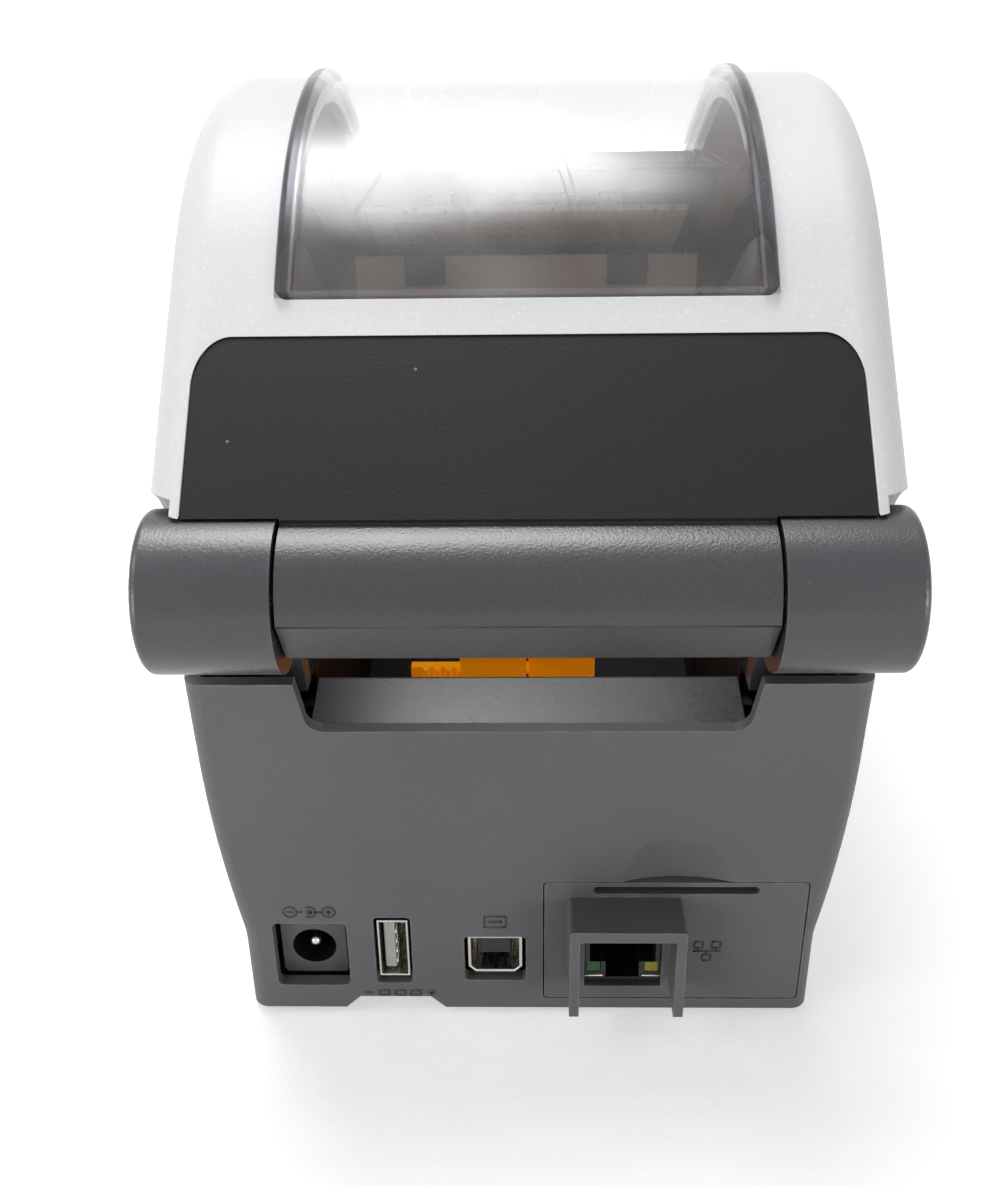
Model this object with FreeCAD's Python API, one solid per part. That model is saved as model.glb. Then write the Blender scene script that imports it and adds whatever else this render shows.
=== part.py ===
"""Desktop thermal label printer: a small direct thermal printer with a clear-topped lid hinged at the back.

Frame: millimetres, +Z up, the front (label exit) faces -Y and the port wall faces +Y.
The origin is on the table, under the middle of the whole outline.
"""

import FreeCAD
import Part

import math
import os

V = FreeCAD.Vector

# Driving sizes of the whole printer
LENGTH = 220.0
HINGE_WIDTH = 112.0
HEIGHT = 155.3
WALL = 2.4
RUN_GAP = 0.3

# Base housing
BASE_HALF = 54.5
BASE_HALF_LOW = 50.8
BASE_BOTTOM = 1.6
BASE_TOP = 73.0
FLARE_LOW = 16.0
FLARE_BEND = 20.0
FLARE_HIGH = 58.0
PORT_WALL_Y = 88.0
WALL_TOP_Y = 90.6
FRONT_Y = -LENGTH / 2
FRONT_CORNER_R = 13.0
REAR_CORNER_R = 3.0
FRONT_LEAN = 1.2
FRONT_STRAIGHT_Z = 68.0
FRONT_BULGE_Z = 46.0
FRONT_TUCK = 4.5
BEZEL_HALF = 37.2
BEZEL_WALL = 2.3
BEZEL_LOW = 10.2
BEZEL_HIGH = 69.8
COVER_TOP = 4.0
FOOT_SPOTS = [(40.0, -84.0), (-40.0, -84.0), (40.0, 70.0), (-40.0, 70.0)]
PILLAR_SPOTS = [(44.0, 56.0), (-44.0, 56.0), (41.0, -41.0), (-41.0, -41.0)]
BOARD_POSTS = [(40.0, -10.0), (-40.0, -10.0), (20.0, 60.0), (-10.0, -24.0)]

# Hinge across the back
KNUCKLE_R = 12.0
CAP_DOME = 1.7
CAP_NOSE_R = 1.2
BARREL_R = 9.7
COVER_R = 11.4
COVER_TOP_ANGLE = 84.0
COVER_SEAM_ANGLE = 1.4
COVER_LOW_ANGLE = -50.0
BARREL_HALF = 34.4
HINGE_Y = LENGTH / 2 - KNUCKLE_R
HINGE_Z = 93.6
HINGE_PIN_R = 3.0
KNUCKLE_IN = BARREL_HALF + 0.5
ARM_OUT = 49.0

# Lid: one side profile, an arc over the roll, a sloping front and a leaning back
LID_HALF = 54.4
LID_WALL = 2.1
LID_BOTTOM = 73.6
LID_EDGE_R = 7.0
ARC_Y = 22.5
ARC_Z = 87.3
WINDOW_R = HEIGHT - ARC_Z
SHELL_R = WINDOW_R - 1.5
BACK_FOOT_ANGLE = 80.0
SLOPE = 28.0
NOSE_Y = -106.0
NOSE_R = 9.0
WINDOW_HALF = 37.0
WINDOW_REAR_Y = 74.4
WINDOW_FRONT_Y = -36.0
FASCIA_REAR_Y = -40.0
PANEL_HALF = 48.2
PANEL_TOP_Z = 125.3
PANEL_CORNER_R = 5.5
FOOT_GAP = 0.45
TIP_OUT = 49.9
FASCIA_HALF = 44.2
RAIL_IN = 43.4
RAIL_OUT = 45.9

# Keys and lamps on the sloping front, measured down the slope from its top
BUTTON_S = 72.0
BUTTONS = [
    ("feed_button", -27.0, 8.0, 4.6),
    ("pause_button", -6.0, 4.6, 4.6),
    ("cancel_button", 10.0, 4.6, 4.6),
    ("power_button", 29.0, 5.2, 5.2),
]
LAMP_X = [-20.0, -10.0, 0.0, 10.0, 20.0]
LAMP_S = 54.0

# Roll well, ledge and fan-fold slot
WELL_Y = 20.0
WELL_Z = 84.0
WELL_R = 60.0
WELL_HALF = 36.0
DECK_TOP = 71.0
DECK_BOTTOM = 67.5
SLOT_FLOOR = 63.6
SLOT_HALF_TOP = 37.4
SLOT_HALF_LOW = 35.8

# Print line: platen, gears and motor
PLATEN_Y = -86.0
PLATEN_Z = 64.0
PLATEN_R = 7.0
PLATEN_HALF = 30.0
SHAFT_R = 3.0
MOTOR_Y = -62.0
MOTOR_Z = 33.0
MOTOR_R = 16.5
GEAR_MODULE = 0.8
PLATEN_TEETH = 22
IDLER_TEETH = 34
PINION_TEETH = 12
GEAR_X = 39.0
GEAR_WIDTH = 4.0

# Print head hung from a bent beam across the lid
HEAD_PIVOT_Y = -74.0
HEAD_PIVOT_Z = 79.0
HEAD_PIN_R = 1.5
BEAM_Z = 81.5
BEAM_WALL = 1.6
BEAM_REAR = -68.8
BEAM_TOP = 100.8
CLIP_X = 25.6
CLIP_HALF = 5.0
CLIP_WALL = 0.8

# Sliding roll guides and their rack pinion
GUIDE_BLOCK_OUT = 14.0
GUIDE_ARM_IN = 8.0
GUIDE_ARM_OUT = 12.6
GUIDE_TOP = 108.0
GUIDE_RAIL_Z = 38.0
GUIDE_RAIL_R = 2.0
GUIDE_TEETH = 12
RACK_REACH = 26.0

# Ports: x runs to the left as the port wall is looked at
PORT_Z = 13.4
DC_X = 38.9
DC_HALF_W = 6.6
DC_LOW = 7.0
DC_HIGH = 21.6
DC_BORE_R = 3.9
DC_PIN_R = 1.15
USB_A_X = 24.2
USB_A_HALF_W = 3.3
USB_A_LOW = 7.6
USB_A_HIGH = 23.0
USB_B_X = 6.0
USB_B_HALF_W = 5.5
USB_B_LOW = 8.3
USB_B_HIGH = 18.6
MODULE_X0 = -48.4
MODULE_X1 = -2.8
MODULE_LOW = 4.2
MODULE_HIGH = 31.0
JACK_X = -16.9
JACK_HALF_W = 6.9
JACK_LOW = 7.0
JACK_HIGH = 17.4
HOOD_HALF_W = 9.9
HOOD_TOP = 27.8
HOOD_OUT = 9.0
BOARD_Z = 5.6
BOARD_REAR = 82.0

# Latch levers on both sides
LATCH_Y_SHAFT = -50.0
LATCH_Z_SHAFT = 54.0
LATCH_PIN_Z = 79.0
LATCH_IN = 46.4

NODES = {}


# Small makers of plain solids

def box(x, y, z):
    """A block between the pairs of limits x, y and z."""
    return Part.makeBox(x[1] - x[0], y[1] - y[0], z[1] - z[0], V(x[0], y[0], z[0]))


def rod(axis, start, end, radius):
    """A cylinder along the axis direction from point start for the length end - start."""
    direction = {"x": V(1, 0, 0), "y": V(0, 1, 0), "z": V(0, 0, 1)}[axis]
    return Part.makeCylinder(radius, end, V(*start), direction)


def rod_x(x0, x1, y, z, radius):
    return rod("x", (x0, y, z), x1 - x0, radius)


def rod_y(y0, y1, x, z, radius):
    return rod("y", (x, y0, z), y1 - y0, radius)


def rod_z(z0, z1, x, y, radius):
    return rod("z", (x, y, z0), z1 - z0, radius)


def wire_of(points, to_space):
    """A closed wire through plane points. An item ("arc", mid, end) is an arc from the last point."""
    edges = []
    last = to_space(points[0])
    for item in points[1:] + [points[0]]:
        if item[0] == "arc":
            mid, end = to_space(item[1]), to_space(item[2])
            edges.append(Part.Arc(last, mid, end).toShape())
        else:
            end = to_space(item)
            if end.isEqual(last, 1e-6):
                continue
            edges.append(Part.LineSegment(last, end).toShape())
        last = end
    return Part.Wire(edges)


def prism_x(points, x0, x1):
    """A profile of (y, z) points, extruded from x0 to x1."""
    face = Part.Face(wire_of(points, lambda p: V(x0, p[0], p[1])))
    return face.extrude(V(x1 - x0, 0, 0))


def prism_y(points, y0, y1):
    """A profile of (x, z) points, extruded from y0 to y1."""
    face = Part.Face(wire_of(points, lambda p: V(p[0], y0, p[1])))
    return face.extrude(V(0, y1 - y0, 0))


def prism_z(points, z0, z1):
    """A profile of (x, y) points, extruded from z0 to z1."""
    face = Part.Face(wire_of(points, lambda p: V(p[0], p[1], z0)))
    return face.extrude(V(0, 0, z1 - z0))


def fuse(*shapes):
    return shapes[0].multiFuse(list(shapes[1:])).removeSplitter()


def cut(shape, *tools):
    for tool in tools:
        shape = shape.cut(tool)
    return shape


def mirrored(shape):
    """The other hand of a shape, across the middle plane."""
    return shape.mirror(V(0, 0, 0), V(1, 0, 0))


def both_hands(shape):
    return [shape, mirrored(shape)]


def rounded(shape, radius, wanted):
    """Fillets the edges for which wanted(edge) is true."""
    edges = [e for e in shape.Edges if wanted(e)]
    return shape.makeFillet(radius, edges)


def is_upright(edge, low=0.0):
    """True for a straight edge along Z longer than low."""
    if len(edge.Vertexes) != 2:
        return False
    a, b = (v.Point for v in edge.Vertexes)
    return abs(a.x - b.x) < 1e-4 and abs(a.y - b.y) < 1e-4 and abs(a.z - b.z) > low


def rounded_box(x, y, z, radius):
    """A block with rounded upright edges."""
    return rounded(box(x, y, z), radius, is_upright)


def node(name, shape):
    """Keeps a piece under the name of its own part file."""
    NODES[name] = shape


# The lid's shared side profile

def arc_point(angle, radius):
    """A point on the lid's arc; the angle is from +Y, in degrees."""
    a = math.radians(angle)
    return (ARC_Y + radius * math.cos(a), ARC_Z + radius * math.sin(a))


def slope_z(y, radius=None):
    """Height of the sloping front over the point y, for the surface of that arc radius."""
    y0, z0 = arc_point(90 + SLOPE, radius or SHELL_R)
    return z0 - (y0 - y) * math.tan(math.radians(SLOPE))


def back_line():
    """Lower and upper ends of the leaning back: over the knuckles, and where it runs into the arc."""
    turn = math.radians(BACK_FOOT_ANGLE)
    reach = KNUCKLE_R + FOOT_GAP
    foot = (HINGE_Y + reach * math.cos(turn), HINGE_Z + reach * math.sin(turn))
    away = math.hypot(foot[0] - ARC_Y, foot[1] - ARC_Z)
    bearing = math.degrees(math.atan2(foot[1] - ARC_Z, foot[0] - ARC_Y))
    return foot, arc_point(bearing + math.degrees(math.acos(SHELL_R / away)), SHELL_R)


def back_point(along, out):
    """A point along the leaning back from its lower end, and out from the outer surface."""
    foot, back = back_line()
    length = math.hypot(back[0] - foot[0], back[1] - foot[1])
    up = ((back[0] - foot[0]) / length, (back[1] - foot[1]) / length)
    return (foot[0] + along * up[0] + out * up[1], foot[1] + along * up[1] - out * up[0])


def barrel_profile():
    """Side profile of the hinge barrel: a full round cover, creased at its seam, over a slimmer tube."""
    def at(angle, radius):
        a = math.radians(angle)
        return (HINGE_Y + radius * math.cos(a), HINGE_Z + radius * math.sin(a))

    front_angle = 120.0
    under_angle = (COVER_LOW_ANGLE + front_angle - 360) / 2
    return [
        at(COVER_TOP_ANGLE, COVER_R),
        ("arc", at((COVER_TOP_ANGLE + COVER_SEAM_ANGLE) / 2, COVER_R), at(COVER_SEAM_ANGLE, COVER_R)),
        at(COVER_LOW_ANGLE, BARREL_R),
        ("arc", at(under_angle, BARREL_R), at(front_angle, BARREL_R)),
    ]


def lid_profile(grow=0.0):
    """Side profile of the closed lid, carried on below its open bottom edge, grown or shrunk by grow."""
    foot, back = back_line()
    corner_z = slope_z(NOSE_Y)
    half_turn = (90 - SLOPE) / 2
    reach = NOSE_R * math.tan(math.radians(half_turn))
    lean = math.radians(SLOPE)
    nose_top = (NOSE_Y + reach * math.cos(lean), corner_z + reach * math.sin(lean))
    nose_low = (NOSE_Y, corner_z - reach)
    out = math.radians(180 - half_turn)
    nose_mid = (NOSE_Y + NOSE_R + NOSE_R * math.cos(out), corner_z - reach + NOSE_R * math.sin(out))
    points = [
        (NOSE_Y, 40.0),
        (87.0, 40.0),
        (87.0, 84.0),
        foot,
        back,
        ("arc", arc_point(90, SHELL_R), arc_point(90 + SLOPE, SHELL_R)),
        nose_top,
        ("arc", nose_mid, nose_low),
    ]
    wire = wire_of(points, lambda p: V(0, p[0], p[1]))
    if grow:
        wire = wire.makeOffset2D(grow, 2)
    return Part.Face(wire)


def lid_solid(grow, half, edge_r=0.0):
    """The lid's profile as a solid between -half and +half, with rounded long edges where asked."""
    solid = lid_profile(grow).extrude(V(2 * half, 0, 0))
    solid.translate(V(-half, 0, 0))
    if edge_r:
        def on_top(edge):
            box_ = edge.BoundBox
            side = abs(abs(box_.XMin) - half) < 1e-3 and box_.XLength < 1e-3
            beside_hinge = box_.ZMin < HINGE_Z and box_.YMin > 80.0
            at_nose = box_.YMin < NOSE_Y + 1.0
            return side and box_.ZMin > 66.0 and edge.Length > 3.0 and not (beside_hinge or at_nose)
        solid = rounded(solid, edge_r, on_top)
    return solid


def slope_place(shape):
    """Moves a piece made flat, with +Z outward and -Y down the slope, onto the lid's sloping front."""
    y0, z0 = arc_point(90 + SLOPE, SHELL_R)
    on_slope = FreeCAD.Placement(V(0, y0, z0), FreeCAD.Rotation(V(1, 0, 0), SLOPE))
    shape.Placement = on_slope.multiply(shape.Placement)
    return shape


# Gears

def gear_outline(teeth, phase, backlash=0.12):
    """Points of a straight-flanked gear outline; a tooth stands at the angle phase, in degrees."""
    pitch_r = GEAR_MODULE * teeth / 2
    root_r, tip_r = pitch_r - 1.15 * GEAR_MODULE, pitch_r + 0.9 * GEAR_MODULE
    half_pitch = math.pi * GEAR_MODULE / 4 - backlash
    lean = math.tan(math.radians(20))
    points = []
    for k in range(teeth):
        middle = math.radians(phase + 360.0 * k / teeth)
        for radius, side in ((root_r, -1), (tip_r, -1), (tip_r, 1), (root_r, 1)):
            half = half_pitch - (radius - pitch_r) * lean
            angle = middle + side * half / radius
            points.append((radius * math.cos(angle), radius * math.sin(angle)))
    return points


def gear_x(teeth, phase, y, z, x0, x1):
    points = [(y + a, z + b) for a, b in gear_outline(teeth, phase)]
    return prism_x(points, x0, x1)


def gear_centres():
    """Centres of the platen gear, idler and motor pinion, meshed in a bent row."""
    r1, r2, r3 = (GEAR_MODULE * n / 2 for n in (PLATEN_TEETH, IDLER_TEETH, PINION_TEETH))
    dy, dz = MOTOR_Y - PLATEN_Y, MOTOR_Z - PLATEN_Z
    d = math.hypot(dy, dz)
    along = ((r1 + r2) ** 2 - (r2 + r3) ** 2 + d * d) / (2 * d)
    aside = math.sqrt((r1 + r2) ** 2 - along ** 2)
    uy, uz = dy / d, dz / d
    idler = (PLATEN_Y + uy * along + uz * aside, PLATEN_Z + uz * along - uy * aside)
    return (PLATEN_Y, PLATEN_Z), idler, (MOTOR_Y, MOTOR_Z)


def gear_phases():
    """Tooth angles at rest, so that each tooth of one gear faces a gap of the next."""
    platen, idler, motor = gear_centres()
    first = math.degrees(math.atan2(idler[1] - platen[1], idler[0] - platen[0]))
    idler_phase = first + 180 + 180 / IDLER_TEETH
    second = math.degrees(math.atan2(motor[1] - idler[1], motor[0] - idler[0]))
    pitch = 360 / IDLER_TEETH
    ahead = (idler_phase - second) % pitch
    gap = second + 180 - ahead * IDLER_TEETH / PINION_TEETH
    return first, idler_phase, gap + 180 / PINION_TEETH


# Base: housing, bottom cover, feet and bezel

def base_solid(inset, low, high):
    """The base's outer form shrunk by inset: upright back, smooth flare on both sides, rounded corners."""
    back, top = PORT_WALL_Y - inset, WALL_TOP_Y - inset
    front = FRONT_Y + inset
    side = [
        (back, low),
        (back, 20.0),
        ("arc", (back + 0.65, 46.5), (top, BASE_TOP)),
        (top, high),
        (front + FRONT_LEAN, high),
        (front + FRONT_LEAN, FRONT_STRAIGHT_Z),
        ("arc", (front, FRONT_BULGE_Z), (front + FRONT_TUCK, low)),
    ]
    if high <= BASE_TOP:
        side.pop(3)
    wide, narrow = BASE_HALF - inset, BASE_HALF_LOW - inset
    turn = 2 * math.atan((wide - narrow) / (FLARE_HIGH - FLARE_LOW))
    low_r = (FLARE_BEND - FLARE_LOW) / math.sin(turn)
    high_r = (FLARE_HIGH - FLARE_BEND) / math.sin(turn)
    rise, reach = math.sin(turn / 2), 1 - math.cos(turn / 2)
    join = (narrow + low_r * (1 - math.cos(turn)), FLARE_BEND)
    low_mid = (narrow + low_r * reach, FLARE_LOW + low_r * rise)
    high_mid = (wide - high_r * reach, FLARE_HIGH - high_r * rise)
    right = [
        (narrow, low),
        (narrow, FLARE_LOW),
        ("arc", low_mid, join),
        ("arc", high_mid, (wide, FLARE_HIGH)),
        (wide, high),
    ]
    left = [
        (-wide, high),
        (-wide, FLARE_HIGH),
        ("arc", (-high_mid[0], high_mid[1]), (-join[0], join[1])),
        ("arc", (-low_mid[0], low_mid[1]), (-narrow, FLARE_LOW)),
        (-narrow, low),
    ]
    solid = prism_x(side, -80.0, 80.0).common(prism_y(right + left, -150.0, 150.0))

    def corner(edge, rear):
        limits = edge.BoundBox
        tall = limits.ZLength > max(1.0, 2 * limits.YLength, 2 * limits.XLength)
        at_side = max(abs(limits.XMin), abs(limits.XMax)) > narrow - 0.5
        at_end = limits.YMin > 60.0 if rear else limits.YMax < -60.0
        return tall and at_side and at_end

    solid = rounded(solid, FRONT_CORNER_R - inset, lambda e: corner(e, False))
    return rounded(solid, max(REAR_CORNER_R - inset, 0.8), lambda e: corner(e, True))


def slot_cut(grow=0.0):
    """The notch in the top of the rear wall that lets fan-fold stock in under the hinge."""
    low, high, r = SLOT_FLOOR - grow, 90.0, 3.0
    wide, narrow = SLOT_HALF_TOP + grow, SLOT_HALF_LOW + grow
    bend = r * (1 - math.sqrt(0.5))
    points = [
        (-wide, high),
        (-wide, BASE_TOP + 3),
        (-narrow, low + r),
        ("arc", (-narrow + bend, low + bend), (-narrow + r, low)),
        (narrow - r, low),
        ("arc", (narrow - bend, low + bend), (narrow, low + r)),
        (wide, BASE_TOP + 3),
        (wide, high),
    ]
    return prism_y(points, 78.0, 100.0)


def port_cut(x0, x1, z0, z1, radius):
    """A round-cornered opening through the rear wall."""
    points = rounded_rect(x0, x1, z0, z1, radius)
    return prism_y(points, 80.0, 95.0)


def rounded_rect(a0, a1, b0, b1, r):
    """Points of a round-cornered rectangle in any plane."""
    k = r * (1 - math.sqrt(0.5))
    return [
        (a0 + r, b0),
        (a1 - r, b0),
        ("arc", (a1 - k, b0 + k), (a1, b0 + r)),
        (a1, b1 - r),
        ("arc", (a1 - k, b1 - k), (a1 - r, b1)),
        (a0 + r, b1),
        ("arc", (a0 + k, b1 - k), (a0, b1 - r)),
        (a0, b0 + r),
        ("arc", (a0 + k, b0 + k), (a0 + r, b0)),
    ]




def make_base():
    outer = base_solid(0.0, BASE_BOTTOM, BASE_TOP)
    inner = base_solid(WALL, -4.0, BASE_TOP + 8)
    shell = outer.cut(inner)
    dimple_r = 30.0
    dimple_at = V((MODULE_X0 + MODULE_X1) / 2, PORT_WALL_Y + dimple_r - 1.5, MODULE_HIGH)
    dimple = Part.makeSphere(dimple_r, dimple_at)
    cable_notch = prism_y([(14.6, 1.0), (18.0, 4.4), (30.6, 4.4), (34.0, 1.0)], 80.0, 95.0)
    bezel_gap = box((-BEZEL_HALF - 0.2, BEZEL_HALF + 0.2), (-125.0, -100.0), (BEZEL_LOW - 0.4, 90.0))
    shell = cut(
        shell,
        slot_cut(),
        port_cut(DC_X - DC_HALF_W, DC_X + DC_HALF_W, DC_LOW, DC_HIGH, 1.0),
        port_cut(USB_A_X - USB_A_HALF_W, USB_A_X + USB_A_HALF_W, USB_A_LOW, USB_A_HIGH, 0.8),
        port_cut(USB_B_X - USB_B_HALF_W, USB_B_X + USB_B_HALF_W, USB_B_LOW, USB_B_HIGH, 0.8),
        port_cut(MODULE_X0 - 0.25, MODULE_X1 + 0.25, MODULE_LOW - 0.25, MODULE_HIGH + 0.25, 0.8),
        dimple,
        cable_notch,
        bezel_gap,
    )
    for side in (1, -1):
        window = box((44.0, 60.0), (-64.5, -47.5), (57.0, 69.4))
        shell = shell.cut(window if side > 0 else mirrored(window))
    node("base_housing", shell)

    cover = base_solid(WALL + 0.2, BASE_BOTTOM, 90.0)
    cover = cover.common(box((-80, 80), (-120, 120), (BASE_BOTTOM, COVER_TOP)))
    posts = [rod_z(COVER_TOP - 0.5, BOARD_Z, x, y, 2.6) for x, y in BOARD_POSTS]
    cover = fuse(cover, *posts)
    for x, y in FOOT_SPOTS:
        cover = cover.cut(rod_z(0.0, BASE_BOTTOM + 0.8, x, y, 6.1))
    for x, y in PILLAR_SPOTS:
        cover = cut(cover, rod_z(0.0, 6.0, x, y, 1.7), rod_z(0.0, BASE_BOTTOM + 1.3, x, y, 3.3))
    for k in range(9):
        vent = box((-24.0, 24.0), (-66.0 + 6 * k, -63.5 + 6 * k), (0.0, 6.0))
        cover = cover.cut(vent)
    node("bottom_cover", cover)
    feet = [rod_z(0.0, BASE_BOTTOM + 0.8, x, y, 6.0) for x, y in FOOT_SPOTS]
    node("rubber_feet", Part.makeCompound([rounded(f, 0.6, lambda e: e.BoundBox.ZMax < 0.1) for f in feet]))
    screws = []
    for x, y in PILLAR_SPOTS:
        head = rod_z(BASE_BOTTOM + 0.1, BASE_BOTTOM + 1.3, x, y, 2.9)
        screws.append(fuse(head, rod_z(BASE_BOTTOM + 1.0, 12.0, x, y, 1.45)))
    node("cover_screws", Part.makeCompound(screws))

    face = prism_x([
        (-100.0, BASE_BOTTOM),
        (-100.0, BASE_TOP),
        (FRONT_Y + FRONT_LEAN, BASE_TOP),
        (FRONT_Y + FRONT_LEAN, FRONT_STRAIGHT_Z),
        ("arc", (FRONT_Y, FRONT_BULGE_Z), (FRONT_Y + FRONT_TUCK, BASE_BOTTOM)),
    ], -BEZEL_HALF, BEZEL_HALF)
    behind = face.translated(V(0, BEZEL_WALL, 0))
    bezel = face.cut(behind).common(box((-90, 90), (-130.0, -102.0), (BEZEL_LOW, BEZEL_HIGH)))
    grip = rod_x(-13.0, 13.0, FRONT_Y - 5.2, 60.0, 7.0)
    lip = box((-BEZEL_HALF, BEZEL_HALF), (-107.5, -103.6), (BEZEL_HIGH - 2.2, BEZEL_HIGH))
    node("front_bezel", fuse(bezel, lip).cut(grip))


# Chassis: deck, roll well, hinge knuckles and bearing cheeks

def knuckle():
    """Right-hand hinge knuckle with its domed outer end and the arm down to the deck."""
    end_x = HINGE_WIDTH / 2
    shoulder = end_x - CAP_DOME - CAP_NOSE_R
    rim_r = KNUCKLE_R - CAP_NOSE_R
    bend = CAP_NOSE_R * math.sqrt(0.5)
    dome_r = (rim_r ** 2 + CAP_DOME ** 2) / (2 * CAP_DOME)
    half_dome = math.asin(rim_r / dome_r) / 2
    dome_mid = (end_x - dome_r + dome_r * math.cos(half_dome), dome_r * math.sin(half_dome))
    outline = wire_of([
        (KNUCKLE_IN, 0.0),
        (KNUCKLE_IN, KNUCKLE_R),
        (shoulder, KNUCKLE_R),
        ("arc", (shoulder + bend, rim_r + bend), (end_x - CAP_DOME, rim_r)),
        ("arc", dome_mid, (end_x, 0.0)),
    ], lambda p: V(p[0], HINGE_Y + p[1], HINGE_Z))
    body = Part.Face(outline).revolve(V(0, HINGE_Y, HINGE_Z), V(1, 0, 0), 360)
    arm = prism_x([
        (76.0, 68.0),
        (84.5, 68.0),
        (86.5, 77.0),
        ("arc", (91.5, 81.4), (HINGE_Y, HINGE_Z - KNUCKLE_R + 0.6)),
        (HINGE_Y, HINGE_Z),
        (90.0, 98.0),
        (86.0, 90.0),
        (80.0, 73.0),
    ], KNUCKLE_IN + 0.8, ARM_OUT)
    bore = rod_x(0.0, 50.0, HINGE_Y, HINGE_Z, HINGE_PIN_R + 0.01)
    return fuse(body, arm).cut(bore)


def make_chassis():
    deck = base_solid(WALL + 0.4, -4.0, 90.0)
    deck = deck.common(box((-80, 80), (-103.3, 84.8), (DECK_BOTTOM, DECK_TOP)))
    well_out = rod_x(-WELL_HALF - 2, WELL_HALF + 2, WELL_Y, WELL_Z, WELL_R + 2)
    well_out = well_out.common(box((-80, 80), (-80, 120), (0, DECK_TOP)))
    well_in = rod_x(-WELL_HALF, WELL_HALF, WELL_Y, WELL_Z, WELL_R)
    ramp_bay = box((-SLOT_HALF_TOP - 0.6, SLOT_HALF_TOP + 0.6), (74.5, 100.0), (SLOT_FLOOR - 3, 80.0))
    parts = [deck, well_out]
    parts += both_hands(box((32.6, 36.4), (-96.0, -76.0), (55.0, DECK_TOP)))
    parts += both_hands(box((44.2, 46.0), (-57.0, -43.0), (49.0, DECK_BOTTOM + 1)))
    for x, y in PILLAR_SPOTS:
        parts.append(rod_z(COVER_TOP + 0.1, DECK_BOTTOM + 1, x, y, 3.6))
    chassis = fuse(*parts)
    chassis = cut(chassis, well_in, ramp_bay)
    chassis = fuse(chassis, *both_hands(knuckle()))
    guide_post = rod_z(WELL_Z - WELL_R - 0.5, 30.4, 0.0, WELL_Y, 1.6)
    chassis = chassis.fuse(guide_post)
    platen_bay = box((-32.6, 32.6), (PLATEN_Y - 9, PLATEN_Y + 9), (50.0, 90.0))
    gear_bay = box((37.6, 43.4), (PLATEN_Y - 11, PLATEN_Y + 11), (50.0, 90.0))
    sensor_bay = box((-31.0, 31.0), (-67.4, -56.6), (50.0, 90.0))
    shaft_hole = rod_x(-70.0, 70.0, LATCH_Y_SHAFT, LATCH_Z_SHAFT, 2.55)
    bearing_seat = rod_x(-60.0, 60.0, PLATEN_Y, PLATEN_Z, 5.01)
    rail_seats = both_hands(rod_x(30.0, WELL_HALF + 1.0, WELL_Y, GUIDE_RAIL_Z, GUIDE_RAIL_R + 0.01))
    latch_gaps = both_hands(box((46.2, 60.0), (-68.0, -44.0), (60.0, 90.0)))
    chassis = cut(chassis, platen_bay, gear_bay, sensor_bay, shaft_hole, bearing_seat, *rail_seats)
    chassis = cut(chassis, *latch_gaps)
    for x, y in PILLAR_SPOTS:
        chassis = chassis.cut(rod_z(0.0, 14.0, x, y, 1.46))
    node("chassis", chassis)

    ramp = prism_x([
        (87.0, SLOT_FLOOR - 2.2),
        (87.0, SLOT_FLOOR - 0.3),
        (76.6, SLOT_FLOOR + 1.8),
        ("arc", (75.5, SLOT_FLOOR + 1.4), (75.2, SLOT_FLOOR + 0.3)),
        (75.2, SLOT_FLOOR - 0.8),
        (77.0, SLOT_FLOOR - 0.8),
    ], -SLOT_HALF_LOW + 0.5, SLOT_HALF_LOW - 0.5)
    node("fanfold_ramp", ramp)
    pin = rod_x(25.0, 49.8, HINGE_Y, HINGE_Z, HINGE_PIN_R)
    node("hinge_pins", Part.makeCompound(both_hands(pin)))


# Print line

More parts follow.
